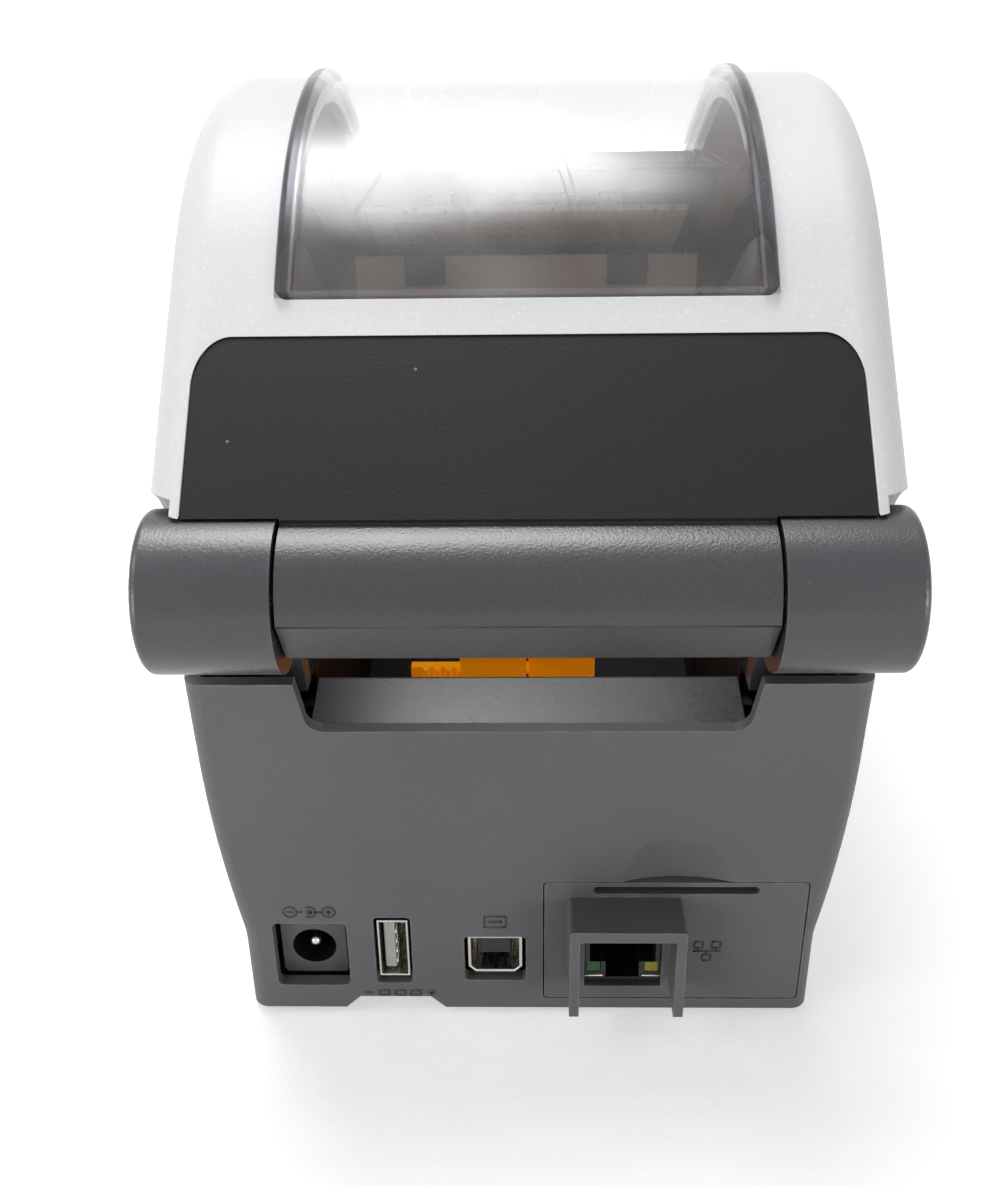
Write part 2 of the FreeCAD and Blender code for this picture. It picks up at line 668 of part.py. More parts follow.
def make_print_line():
    platen, idler, motor = gear_centres()
    phases = gear_phases()
    sleeve = rod_x(-PLATEN_HALF, PLATEN_HALF, PLATEN_Y, PLATEN_Z, PLATEN_R)
    node("platen_roller", sleeve.cut(rod_x(-60, 60, PLATEN_Y, PLATEN_Z, SHAFT_R)))
    shaft = rod_x(-38.0, GEAR_X + GEAR_WIDTH + 0.4, PLATEN_Y, PLATEN_Z, SHAFT_R)
    node("platen_shaft", shaft)
    bush = rod_x(32.4, 36.6, PLATEN_Y, PLATEN_Z, 5.0).cut(rod_x(0, 60, PLATEN_Y, PLATEN_Z, SHAFT_R + 0.04))
    node("platen_bearings", Part.makeCompound(both_hands(bush)))
    x0, x1 = GEAR_X, GEAR_X + GEAR_WIDTH
    gear = gear_x(PLATEN_TEETH, phases[0], platen[0], platen[1], x0, x1)
    node("platen_gear", gear.cut(rod_x(0, 60, platen[0], platen[1], SHAFT_R)))
    wheel = gear_x(IDLER_TEETH, phases[1], idler[0], idler[1], x0, x1)
    dish = rod_x(x1 - 1.2, x1 + 1, idler[0], idler[1], 10.0).cut(rod_x(x0, x1 + 2, idler[0], idler[1], 4.2))
    node("idler_gear", cut(wheel, dish, rod_x(0, 60, idler[0], idler[1], 2.05)))
    post = rod_x(38.0, x1 + 0.8, idler[0], idler[1], 2.0)
    pinion = gear_x(PINION_TEETH, phases[2], motor[0], motor[1], x0, x1)
    node("motor_pinion", pinion.cut(rod_x(0, 60, motor[0], motor[1], 1.2)))
    node("motor_shaft", rod_x(13.0, x1 + 0.4, motor[0], motor[1], 1.2))
    can = rod_x(12.0, 35.2, motor[0], motor[1], MOTOR_R)
    ear_outline = rounded_rect(motor[0] - 22, motor[0] + 14.0, motor[1] - 4, motor[1] + 4, 3.9)
    ears = prism_x(ear_outline, 34.2, 35.2)
    can = fuse(can, ears).cut(rod_x(12.4, 60, motor[0], motor[1], 1.25))
    node("stepper_motor", can)
    plate = prism_x([
        (-92.0, 26.0),
        (-58.0, 15.0),
        (-50.0, 22.0),
        (-50.0, 46.0),
        (-66.0, 54.6),
        (-92.0, 54.6),
    ], 36.6, 38.2)
    plate = plate.cut(rod_x(0, 60, motor[0], motor[1], 6.0))
    spacers = [rod_x(35.2, 36.8, motor[0] + d, motor[1], 3.0) for d in (-17.5, 10.5)]
    hangers = [box((36.6, 38.2), limits, (50.0, DECK_BOTTOM)) for limits in ((-94.0, -90.0), (-74.0, -60.0))]
    node("motor_bracket", fuse(plate, post, *(spacers + hangers)))


# Roll guides, rack pinion and media sensor

def rack_teeth(x_from, x_to, phase):
    """Tooth flanks along X, standing in +Y from the pitch line at zero."""
    pitch = math.pi * GEAR_MODULE
    lean = math.tan(math.radians(20))
    half = pitch / 4 - 0.12
    up, down = 0.85 * GEAR_MODULE, 1.15 * GEAR_MODULE
    points = [(x_from, -down - 2.4), (x_from, -down)]
    first = math.ceil((x_from + pitch / 2 - phase) / pitch)
    last = math.floor((x_to - pitch / 2 - phase) / pitch)
    for k in range(first, last + 1):
        x = phase + k * pitch
        points += [
            (x - half - down * lean, -down),
            (x - half + up * lean, up),
            (x + half - up * lean, up),
            (x + half + down * lean, -down),
        ]
    return points + [(x_to, -down), (x_to, -down - 2.4)]


def roll_guide():
    """Right-hand roll guide: sliding block, upright arm with core hub, and the rack under it."""
    block = box((0.25, GUIDE_BLOCK_OUT), (WELL_Y - 10, WELL_Y + 11), (32.0, 44.0))
    block = rounded(block, 2.0, lambda e: e.BoundBox.ZMin > 43.9 and e.BoundBox.XLength > 5)
    arm = prism_x([
        (WELL_Y - 9, 43.0),
        (WELL_Y + 9, 43.0),
        (WELL_Y + 7, 70.0),
        (WELL_Y + 7, GUIDE_TOP - 7),
        ("arc", (WELL_Y, GUIDE_TOP), (WELL_Y - 7, GUIDE_TOP - 7)),
        (WELL_Y - 7, 70.0),
    ], GUIDE_ARM_IN, GUIDE_ARM_OUT)
    hub = rod_x(2.4, GUIDE_ARM_IN + 0.5, WELL_Y, WELL_Z, 12.0)
    hub = rounded(hub, 1.5, lambda e: e.BoundBox.XMax < 2.5)
    hollow = rod_x(4.4, 30.0, WELL_Y, WELL_Z, 8.0)
    window = prism_x(rounded_rect(WELL_Y - 4, WELL_Y + 4, 48.0, 66.0, 3.0), 0.0, 30.0)
    y_side = WELL_Y + GEAR_MODULE * GUIDE_TEETH / 2
    flat = [(x, y_side - y) for x, y in rack_teeth(-RACK_REACH, GUIDE_BLOCK_OUT, 0.0)]
    rack = prism_z(flat, 26.0, 29.6)
    neck = box((8.0, GUIDE_BLOCK_OUT), (y_side + 0.95, y_side + 3.3), (29.0, 33.0))
    solid = fuse(block, arm, hub, rack, neck)
    return cut(solid, hollow, window, rod_x(-10, 60, WELL_Y, GUIDE_RAIL_Z, GUIDE_RAIL_R + 0.05))


def make_guides():
    right = roll_guide()
    left = right.copy()
    left.rotate(V(0, WELL_Y, 0), V(0, 0, 1), 180)
    node("guide_right", right)
    node("guide_left", left)
    node("guide_rail", rod_x(-WELL_HALF - 0.9, WELL_HALF + 0.9, WELL_Y, GUIDE_RAIL_Z, GUIDE_RAIL_R))
    phase = 90.0 + 180.0 / GUIDE_TEETH
    points = [(a, WELL_Y + b) for a, b in gear_outline(GUIDE_TEETH, phase)]
    node("guide_pinion", prism_z(points, 25.4, 29.8).cut(rod_z(0, 60, 0.0, WELL_Y, 1.65)))

    carriage = rounded_box((-6.0, 6.0), (-66.6, -57.4), (60.0, 70.4), 1.2)
    carriage = carriage.cut(rod_x(-20, 20, -62.0, 63.4, 1.55))
    carriage = carriage.cut(box((-2.0, 2.0), (-63.2, -60.8), (69.0, 72.0)))
    node("media_sensor", carriage)
    rail = rod_x(-32.4, 32.4, -62.0, 63.4, 1.5)
    feet = both_hands(box((31.2, 33.6), (-65.0, -59.0), (60.6, DECK_BOTTOM)))
    node("sensor_rail", fuse(rail, *feet))


# Boards and ports

def make_ports():
    main = prism_z([
        (-46.0, -30.0),
        (46.0, -30.0),
        (46.0, BOARD_REAR),
        (-1.0, BOARD_REAR),
        (-1.0, 38.0),
        (-46.0, 38.0),
    ], BOARD_Z, BOARD_Z + 1.6)
    for x, y in PILLAR_SPOTS:
        main = main.cut(rod_z(0, 20, x, y, 4.2))
    chips = [
        box((-14.0, 2.0), (4.0, 20.0), (BOARD_Z + 1.6, BOARD_Z + 3.0)),
        box((14.0, 26.0), (10.0, 18.0), (BOARD_Z + 1.6, BOARD_Z + 2.8)),
        box((30.0, 40.0), (30.0, 40.0), (BOARD_Z + 1.6, BOARD_Z + 7.0)),
        rod_z(BOARD_Z + 1.6, BOARD_Z + 12.0, 36.0, -18.0, 4.0),
    ]
    node("main_board", fuse(main, *chips))
    board_top = BOARD_Z + 1.6

    body = box((DC_X - 5.6, DC_X + 5.6), (71.0, 84.8), (board_top, DC_HIGH - 1.6))
    dc_z = PORT_Z
    flange = box((DC_X - 5.9, DC_X + 5.9), (BOARD_REAR + 0.3, 84.8), (DC_LOW + 0.7, DC_HIGH + 0.4))
    node("dc_jack", fuse(body, flange).cut(rod_y(74.0, 90.0, DC_X, dc_z, DC_BORE_R)))
    tip = Part.makeSphere(DC_PIN_R, V(DC_X, 83.0, dc_z))
    pin = fuse(rod_y(73.0, 83.0, DC_X, dc_z, DC_PIN_R), tip)
    node("dc_pin", pin.common(box((0, 60), (74.0, 90), (0, 30))))

    half, low, high = 2.85, USB_A_LOW + 1.1, USB_A_HIGH - 1.2
    host = box((USB_A_X - half, USB_A_X + half), (72.0, 87.4), (low, high))
    host = fuse(host, box((USB_A_X - half, USB_A_X + half), (72.0, 85.2), (board_top, low + 0.3)))
    host = host.cut(box((USB_A_X - half + 0.5, USB_A_X + half - 0.5), (74.0, 90.0), (low + 0.4, high - 0.5)))
    node("usb_host_port", host)
    node("usb_host_tongue", box((USB_A_X - 0.3, USB_A_X + 1.7), (74.0, 86.4), (low + 1.2, high - 1.3)))

    x0, x1, z0, z1, c = USB_B_X - 4.9, USB_B_X + 4.9, USB_B_LOW + 1.4, USB_B_HIGH - 0.3, 1.4

    def cup(t):
        left, right, low, high = x0 + t, x1 - t, z0 + t, z1 - t
        return [(left, high), (left, z0 + c), (x0 + c, low), (x1 - c, low), (right, z0 + c), (right, high)]

    device = prism_y(cup(0.0), 72.0, 87.4).cut(prism_y(cup(0.6), 75.0, 90.0))
    foot = box((x0, x1), (72.0, 84.0), (board_top, z0 + 0.2))
    node("usb_device_port", fuse(device, foot))
    node("usb_device_tongue", box((USB_B_X - 2.8, USB_B_X + 2.8), (75.0, 86.0), (13.0, 16.4)))

    mid = (MODULE_X0 + MODULE_X1) / 2
    door = box((MODULE_X0, MODULE_X1), (PORT_WALL_Y - 2.2, PORT_WALL_Y), (MODULE_LOW, MODULE_HIGH))
    door = rounded(door, 0.7, lambda e: e.BoundBox.YLength > 2.0)
    hood = box((JACK_X - HOOD_HALF_W, JACK_X + HOOD_HALF_W), (87.0, PORT_WALL_Y + HOOD_OUT), (8.6, HOOD_TOP))
    hood = rounded(hood, 0.7, lambda e: e.BoundBox.YLength > 5.0 and e.BoundBox.ZMin > 20)
    hood_in_half = HOOD_HALF_W - 1.7
    hood_in = box((JACK_X - hood_in_half, JACK_X + hood_in_half), (PORT_WALL_Y, 120.0), (0.0, HOOD_TOP - 2.2))
    jack_gap = box((JACK_X - JACK_HALF_W, JACK_X + JACK_HALF_W), (80.0, 90.0), (JACK_LOW, JACK_HIGH))
    pull = prism_y(rounded_rect(mid - 14.4, mid + 14.4, 28.5, 30.1, 0.79), 80.0, 95.0)
    tabs = [box((x, x + 6.0), (82.0, 86.0), (MODULE_HIGH - 2.0, MODULE_HIGH - 0.9)) for x in (-46.0, -11.0)]
    node("module_door", cut(fuse(door, hood, *tabs), hood_in, jack_gap, pull))
    board = box((-47.0, -4.0), (44.0, 84.6), (BOARD_Z - 1.0, BOARD_Z + 0.4))
    for x, y in PILLAR_SPOTS:
        board = board.cut(rod_z(0, 20, x, y, 4.2))
    node("module_board", board)
    jack = box((JACK_X - 7.9, JACK_X + 7.9), (66.0, 85.6), (BOARD_Z + 0.4, 18.6))
    nose_half = JACK_HALF_W - 0.15
    nose = box((JACK_X - nose_half, JACK_X + nose_half), (85.0, 87.0), (JACK_LOW + 0.15, JACK_HIGH - 0.15))
    plug = box((JACK_X - 5.9, JACK_X + 5.9), (72.0, 90.0), (11.9, JACK_HIGH - 0.9))
    clip = box((JACK_X - 3.0, JACK_X + 3.0), (72.0, 90.0), (8.2, 12.4))
    lamps = []
    for name, x in (("led_green", JACK_X + 5.2), ("led_yellow", JACK_X - 5.2)):
        node(name, box((x - 1.3, x + 1.3), (83.0, 86.9), (9.4, 11.8)))
        lamps.append(box((x - 1.3, x + 1.3), (83.0, 90.0), (9.4, 11.8)))
    node("network_jack", cut(fuse(jack, nose), plug, clip, *lamps))


# Lid: white shell, dark frame with the hinge barrel, clear window and control panel

def panel_outline(shrink):
    """The rear panel's outline seen from behind, with round top corners."""
    half, top, r = PANEL_HALF - shrink, PANEL_TOP_Z - shrink, PANEL_CORNER_R
    bend = r * (1 - math.sqrt(0.5))
    points = [
        (-half, 60.0),
        (half, 60.0),
        (half, top - r),
        ("arc", (half - bend, top - bend), (half - r, top)),
        (-half + r, top),
        ("arc", (-half + bend, top - bend), (-half, top - r)),
    ]
    return prism_y(points, 71.0, 130.0)


def make_lid():
    below = box((-90, 90), (-140, 140), (0, LID_BOTTOM))
    hinge_room = rod_x(-90, 90, HINGE_Y, HINGE_Z, KNUCKLE_R + 0.5)
    cap_rooms = both_hands(rod_x(TIP_OUT, 90, HINGE_Y, HINGE_Z, KNUCKLE_R + 2.2))
    outer = lid_solid(0.0, LID_HALF, LID_EDGE_R)
    inner = lid_solid(-LID_WALL, LID_HALF - LID_WALL, LID_EDGE_R - LID_WALL)
    opening = rounded_box(
        (-WINDOW_HALF - 0.15, WINDOW_HALF + 0.15),
        (WINDOW_FRONT_Y - 0.15, WINDOW_REAR_Y + 0.15),
        (100.0, 170.0), 2.0)
    fascia_gap = box((-FASCIA_HALF - 0.2, FASCIA_HALF + 0.2), (-140.0, FASCIA_REAR_Y + 0.2), (60.0, 170.0))
    inside = LID_HALF - LID_WALL
    arm_room = box((-inside, inside), (84.0, 105.0), (LID_BOTTOM, HINGE_Z))
    shell = cut(outer.cut(inner), below, hinge_room, arm_room, *cap_rooms)
    shell = cut(shell, opening, fascia_gap, panel_outline(-0.15))
    node("lid_shell", shell)

    length = 40.0
    plate = [back_point(0.1, -0.3), back_point(length, -0.3), back_point(length, -2.5), back_point(0.1, -2.5)]
    panel = prism_x(plate, -PANEL_HALF, PANEL_HALF).common(panel_outline(0.0))
    knuckle_rooms = both_hands(rod_x(BARREL_HALF, 90, HINGE_Y, HINGE_Z, KNUCKLE_R + 0.4))
    panel = cut(panel, *knuckle_rooms)
    web = [back_point(0.1, -0.3), back_point(5.0, -0.3), back_point(5.0, -2.5), (HINGE_Y, HINGE_Z)]
    barrel = prism_x(barrel_profile(), -BARREL_HALF, BARREL_HALF)
    rail = prism_x([
        back_point(6.0, -2.0),
        back_point(22.0, -2.0),
        (60.0, 128.0),
        (40.0, 134.0),
        (14.0, 134.0),
        (-12.0, 124.0),
        (-78.0, 84.0),
        (-95.0, 78.5),
        (-95.0, 74.6),
        (60.0, 74.6),
        (76.0, 96.0),
    ], RAIL_IN, RAIL_OUT)
    rail_hole = prism_x([
        (66.0, 100.0),
        (66.0, 118.0),
        (40.0, 126.0),
        (14.0, 126.0),
        (-10.0, 117.0),
        (-40.0, 98.0),
        (-40.0, 84.0),
        (54.0, 84.0),
    ], 0.0, 90.0)
    rail = rail.cut(rail_hole)
    frame = fuse(panel, prism_x(web, -BARREL_HALF, BARREL_HALF), barrel, *both_hands(rail))
    pin_bores = both_hands(rod_x(24.0, 60.0, HINGE_Y, HINGE_Z, HINGE_PIN_R + 0.05))
    frame = cut(frame, *pin_bores)
    frame = frame.cut(rod_x(-60, 60, LATCH_Y_SHAFT, LATCH_PIN_Z, 1.61))
    node("lid_frame", frame)

    grown = lid_solid(1.5, WINDOW_HALF)
    hollow = lid_solid(-0.8, WINDOW_HALF - 2.0)
    limits = rounded_box((-WINDOW_HALF, WINDOW_HALF), (WINDOW_FRONT_Y, WINDOW_REAR_Y), (100.0, 170.0), 1.9)
    pane = grown.common(limits).cut(lid_solid(-4.2, 60.0))
    inside = hollow.common(box((-60, 60), (WINDOW_FRONT_Y + 2.0, WINDOW_REAR_Y - 2.0), (90.0, 170.0)))
    pane = pane.cut(inside)
    flange = lid_solid(-LID_WALL - 0.1, WINDOW_HALF + 3.4).cut(lid_solid(-4.2, 60.0))
    flange = flange.common(box((-60, 60), (WINDOW_FRONT_Y, WINDOW_REAR_Y - 6.0), (100.0, 170.0)))
    flange = flange.cut(box((-WINDOW_HALF + 1, WINDOW_HALF - 1), (-100, 100), (90.0, 170.0)))
    node("window", fuse(pane, flange))

    skin = lid_solid(-0.1, FASCIA_HALF).cut(lid_solid(-2.3, 60.0))
    skin = skin.common(box((-80, 80), (-140.0, FASCIA_REAR_Y), (LID_BOTTOM, 170.0)))
    for name, x, half_w, half_h in BUTTONS:
        skin = skin.cut(button_form(x, half_w + RUN_GAP, half_h + RUN_GAP, -6.0, 4.0))
    for x in LAMP_X:
        skin = skin.cut(lamp_form(x, 0.15))
    node("control_panel", skin)
    for name, x, half_w, half_h in BUTTONS:
        cap = button_form(x, half_w, half_h, -3.0, 0.7)
        flange = button_form(x, half_w + 0.9, half_h + 0.9, -3.6, -2.6)
        stem = slope_place(rod_z(-5.0, -3.2, x, -BUTTON_S, 1.4))
        node(name, fuse(cap, flange, stem))
    node("indicator_lights", Part.makeCompound([lamp_form(x, 0.0) for x in LAMP_X]))
    board = box((-38.0, 38.0), (-84.0, -48.0), (-8.2, -6.6))
    switches = []
    for _, x, _, _ in BUTTONS:
        switches.append(box((x - 2.5, x + 2.5), (-BUTTON_S - 2.5, -BUTTON_S + 2.5), (-6.7, -5.95)))
    stand = [box((x - 1.5, x + 1.5), (-83.0, -80.0), (-6.7, -2.4)) for x in (-36.0, 36.0)]
    node("key_board", slope_place(fuse(board, *(switches + stand))))


def button_form(x, half_w, half_h, low, high):
    """A round or pill-shaped key on the lid's slope."""
    if half_w - half_h < 0.01:
        return slope_place(rod_z(low, high, x, -BUTTON_S, half_h))
    run = half_w - half_h
    points = [
        (x - run, -BUTTON_S - half_h),
        (x + run, -BUTTON_S - half_h),
        ("arc", (x + run + half_h, -BUTTON_S), (x + run, -BUTTON_S + half_h)),
        (x - run, -BUTTON_S + half_h),
        ("arc", (x - run - half_h, -BUTTON_S), (x - run, -BUTTON_S - half_h)),
    ]
    return slope_place(prism_z(points, low, high))


def lamp_form(x, grow):
    """A light pipe through the control panel."""
    points = rounded_rect(x - 2.6 - grow, x + 2.6 + grow, -LAMP_S - 1.1 - grow, -LAMP_S + 1.1 + grow, 0.9)
    return slope_place(prism_z(points, -6.4, 0.1))


# Print head, tear bar and latch

def make_head():
    head = box((-30.5, 30.5), (-93.0, -79.0), (PLATEN_Z + PLATEN_R + 0.3, 72.3))
    node("thermal_head", head)
    sink = box((-31.0, 31.0), (-94.0, -76.0), (72.3, 76.0))
    for k in range(3):
        sink = sink.cut(box((-40, 40), (-91.5 + 5 * k, -89.0 + 5 * k), (74.2, 80.0)))
    node("heat_sink", sink)
    plate = box((-31.4, 31.4), (-92.0, -72.0), (76.0, 77.2))
    ears = both_hands(prism_x([(-78.0, 76.0), (-71.5, 76.0), (-71.5, 80.8), (-76.0, 80.8)], 30.2, 31.4))
    bracket = fuse(plate, *ears).cut(rod_x(-60, 60, HEAD_PIVOT_Y, HEAD_PIVOT_Z, HEAD_PIN_R + 0.05))
    node("head_bracket", bracket)
    node("head_pivot_pin", rod_x(-34.6, 34.6, HEAD_PIVOT_Y, HEAD_PIVOT_Z, HEAD_PIN_R))
    deck = BEAM_Z + BEAM_WALL
    inner_face = BEAM_REAR - BEAM_WALL
    beam = prism_x([
        (-86.0, BEAM_Z),
        (-86.0, deck),
        (BEAM_REAR - 3.0, deck),
        ("arc", (BEAM_REAR - 2.1, deck + 0.4), (inner_face, deck + 1.2)),
        (inner_face, BEAM_TOP),
        (BEAM_REAR, BEAM_TOP),
        (BEAM_REAR, BEAM_Z + 2.0),
        ("arc", (BEAM_REAR - 0.6, BEAM_Z + 0.6), (BEAM_REAR - 2.0, BEAM_Z)),
    ], -RAIL_IN, RAIL_IN)
    lugs = both_hands(prism_x([
        (-78.0, BEAM_Z + 0.5),
        (-77.0, HEAD_PIVOT_Z),
        ("arc", (HEAD_PIVOT_Y, HEAD_PIVOT_Z - 3.0), (-71.0, HEAD_PIVOT_Z)),
        (-71.0, BEAM_Z + 0.5),
    ], 32.8, 34.6))
    lightening = []
    for x in (-9.0, 9.0):
        outline = rounded_rect(x - 6.0, x + 6.0, 86.0, 89.6, 1.7)
        lightening.append(prism_y(outline, BEAM_REAR - 5, BEAM_REAR + 5))
    beam = cut(fuse(beam, *lugs), rod_x(-60, 60, HEAD_PIVOT_Y, HEAD_PIVOT_Z, HEAD_PIN_R), *lightening)
    node("head_beam", beam)
    cap = prism_x([
        (-82.0, deck),
        (-82.0, deck + 5.2),
        ("arc", (-81.8, deck + 5.8), (-81.2, deck + 6.0)),
        (-76.5, deck + 6.0),
        (inner_face - 2.0, deck + 9.0),
        (inner_face - 2.0, BEAM_TOP + CLIP_WALL),
        (BEAM_REAR + 2.4, BEAM_TOP + CLIP_WALL),
        (BEAM_REAR + 2.4, BEAM_TOP - 7.0),
        (BEAM_REAR, BEAM_TOP - 7.0),
        (BEAM_REAR, BEAM_TOP),
        (inner_face, BEAM_TOP),
        (inner_face, deck + 3.4),
        (inner_face - 2.2, deck),
    ], CLIP_X - CLIP_HALF, CLIP_X + CLIP_HALF)
    node("head_spring_caps", Part.makeCompound(both_hands(cap)))
    leaf = [
        (-91.0, 77.2),
        (-86.0, 77.2),
        (-80.0, 81.0),
        (-78.0, 81.0),
        (-78.0, 81.5),
        (-80.3, 81.5),
        (-86.2, 77.7),
        (-91.0, 77.7),
    ]
    node("head_springs", Part.makeCompound(both_hands(prism_x(leaf, 9.0, 17.0))))
    teeth = [(-32.0, 76.4), (-32.0, 73.0)]
    for k in range(32):
        teeth += [(-31.0 + 2 * k, 71.9), (-30.0 + 2 * k, 73.0)]
    teeth += [(32.0, 73.0), (32.0, 76.4)]
    node("tear_bar", prism_y(teeth, -103.6, -102.8))


def make_latch():
    y, z = LATCH_Y_SHAFT, LATCH_Z_SHAFT
    lever = prism_x([
        (y - 5.5, z - 2.0),
        ("arc", (y, z - 5.8), (y + 5.5, z - 2.0)),
        (y + 3.0, z + 8.0),
        (y - 3.2, z + 19.0),
        (y - 3.2, z + 26.6),
        (y - 2.6, z + 27.2),
        (y - 5.0, z + 30.0),
        (y - 7.4, z + 29.0),
        (y - 7.4, z + 16.0),
    ], LATCH_IN, 48.8)
    pad_in = BASE_HALF + RUN_GAP + 0.1
    stub = box((48.6, pad_in + 0.4), (y - 9.0, y - 2.4), (z + 6.6, z + 12.4))
    pad = prism_x(rounded_rect(y - 12.0, y + 1.0, z + 5.4, z + 13.6, 2.4), pad_in, pad_in + 2.2)
    pad = rounded(pad, 0.9, lambda e: e.BoundBox.XMin > pad_in + 2.1)
    ribs = [rod_z(z + 7.0, z + 12.0, pad_in + 2.1, y - 9.5 + 2.6 * k, 0.5) for k in range(4)]
    right = fuse(lever, stub, pad, *ribs).cut(rod_x(0, 90, y, z, 2.5))
    node("latch_right", right)
    node("latch_left", mirrored(right))
    node("latch_shaft", rod_x(-48.8, 48.8, y, z, 2.5))
    pins = both_hands(rod_x(RAIL_IN, 48.4, LATCH_Y_SHAFT, LATCH_PIN_Z, 1.6))
    node("latch_pins", Part.makeCompound(pins))


make_base()
make_chassis()
make_print_line()
make_guides()
make_ports()
make_lid()
make_head()
make_latch()

os.makedirs("parts", exist_ok=True)
for name, shape in NODES.items():
    shape.exportStep("parts/" + name + ".step")
    print(name, "solids", len(shape.Solids), "valid", shape.isValid(), "volume", round(shape.Volume, 1))
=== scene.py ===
"""Looks of the desktop thermal label printer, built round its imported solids.

Metres, +Z up, the label exit faces -Y and the port wall faces +Y.
"""

import math

import bmesh
import bpy
from mathutils import Matrix, Vector


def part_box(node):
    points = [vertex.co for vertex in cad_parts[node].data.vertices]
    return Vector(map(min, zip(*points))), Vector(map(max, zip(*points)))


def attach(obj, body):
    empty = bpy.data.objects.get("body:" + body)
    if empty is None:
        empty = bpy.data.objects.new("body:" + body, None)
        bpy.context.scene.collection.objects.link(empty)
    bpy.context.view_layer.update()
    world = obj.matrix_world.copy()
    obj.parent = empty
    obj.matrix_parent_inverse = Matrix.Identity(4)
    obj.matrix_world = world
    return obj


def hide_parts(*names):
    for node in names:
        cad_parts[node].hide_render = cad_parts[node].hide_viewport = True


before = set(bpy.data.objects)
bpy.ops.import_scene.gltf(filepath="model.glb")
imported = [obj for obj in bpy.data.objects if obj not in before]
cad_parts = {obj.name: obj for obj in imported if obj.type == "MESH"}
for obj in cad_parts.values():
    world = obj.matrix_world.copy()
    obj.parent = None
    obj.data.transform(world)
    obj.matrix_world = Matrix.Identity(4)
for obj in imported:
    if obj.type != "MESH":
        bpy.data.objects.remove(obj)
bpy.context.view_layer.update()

MM = 0.001
IMAGE_SIZE = (994, 1186)
SENSOR = 36.0

# Camera: place, turns and focal length that bring the solids over the photograph
CAMERA_AT = (0.0, 0.2637, 0.1819)
CAMERA_YAW = 1.50
CAMERA_PITCH = 28.16
CAMERA_ROLL = -0.93
FOCAL_PIXELS = 1308.0
WORLD_LIGHT = 0.2
FLOOR_LIFT = 0.5

# Sizes that the solids are built to, in millimetres
HINGE_Y = 98.0
HINGE_Z = 93.6
COVER_R = 11.4
BARREL_HALF = 34.4
ARC_Y = 22.5
ARC_Z = 87.3
SHELL_R = 66.5
SLOPE = 28.0
BACK_TURN = 47.05
WINDOW_HALF = 37.0
WINDOW_FRONT_Y = -36.0
WINDOW_REAR_Y = 74.4
PORT_WALL_Y = 88.0
INLET_X = 38.9
INLET_Z = 13.4
INLET_BORE = 4.0
WELL_Y = 20.0
WELL_Z = 84.0
WELL_EDGE = 63.2
WELL_SIDE = 37.2
CHEEK_X = 34.4
JACK_X = -16.9
JACK_PITCH = 1.02
HOST_X = 23.6
KEYS_DOWN = 72.0
FEED_X = -27.0
PAUSE_X = -6.0
CANCEL_X = 10.0
POWER_X = 29.0
SIGN_LINE = 0.28

# Softened edges of the solids, in metres
EDGE_WIDTH = 0.00025
THIN_PIECE = 0.0012
THIN_EDGE_WIDTH = 0.00008

# Floor sheet, in metres: where it starts behind the camera, how far it runs flat, and its bend
FLOOR_START = 0.9
FLOOR_RUN = 2.2
FLOOR_BEND = 0.6
FLOOR_RISE = 2.2
FLOOR_HALF = 2.6
FLOOR_STEPS = 24
FLAT_SHARE = 0.6

# Lamps: name, place, target, size and power
REAR_TARGET = (0.0, 0.08, 0.05)
LAMPS = (
    ("top", (0.12, -0.2, 1.0), (0.0, 0.02, 0.06), 0.5, 7.4),
    ("left", (0.7, 0.3, 0.75), (0.0, 0.05, 0.08), 0.4, 1.9),
    ("rear_left", (0.95, 0.95, 0.22), REAR_TARGET, 0.5, 4.6),
    ("rear_right", (-0.95, 0.95, 0.22), REAR_TARGET, 0.5, 4.6),
)


# Colours and materials

def srgb(red, green, blue):
    """A colour given as 0 to 255 screen values, as linear light."""
    def linear(value):
        v = value / 255
        return v / 12.92 if v <= 0.04045 else ((v + 0.055) / 1.055) ** 2.4
    return (linear(red), linear(green), linear(blue), 1.0)


def tone(colour, share):
    """The colour made darker or paler by a share."""
    return tuple(min(c * share, 1.0) for c in colour[:3]) + (1.0,)


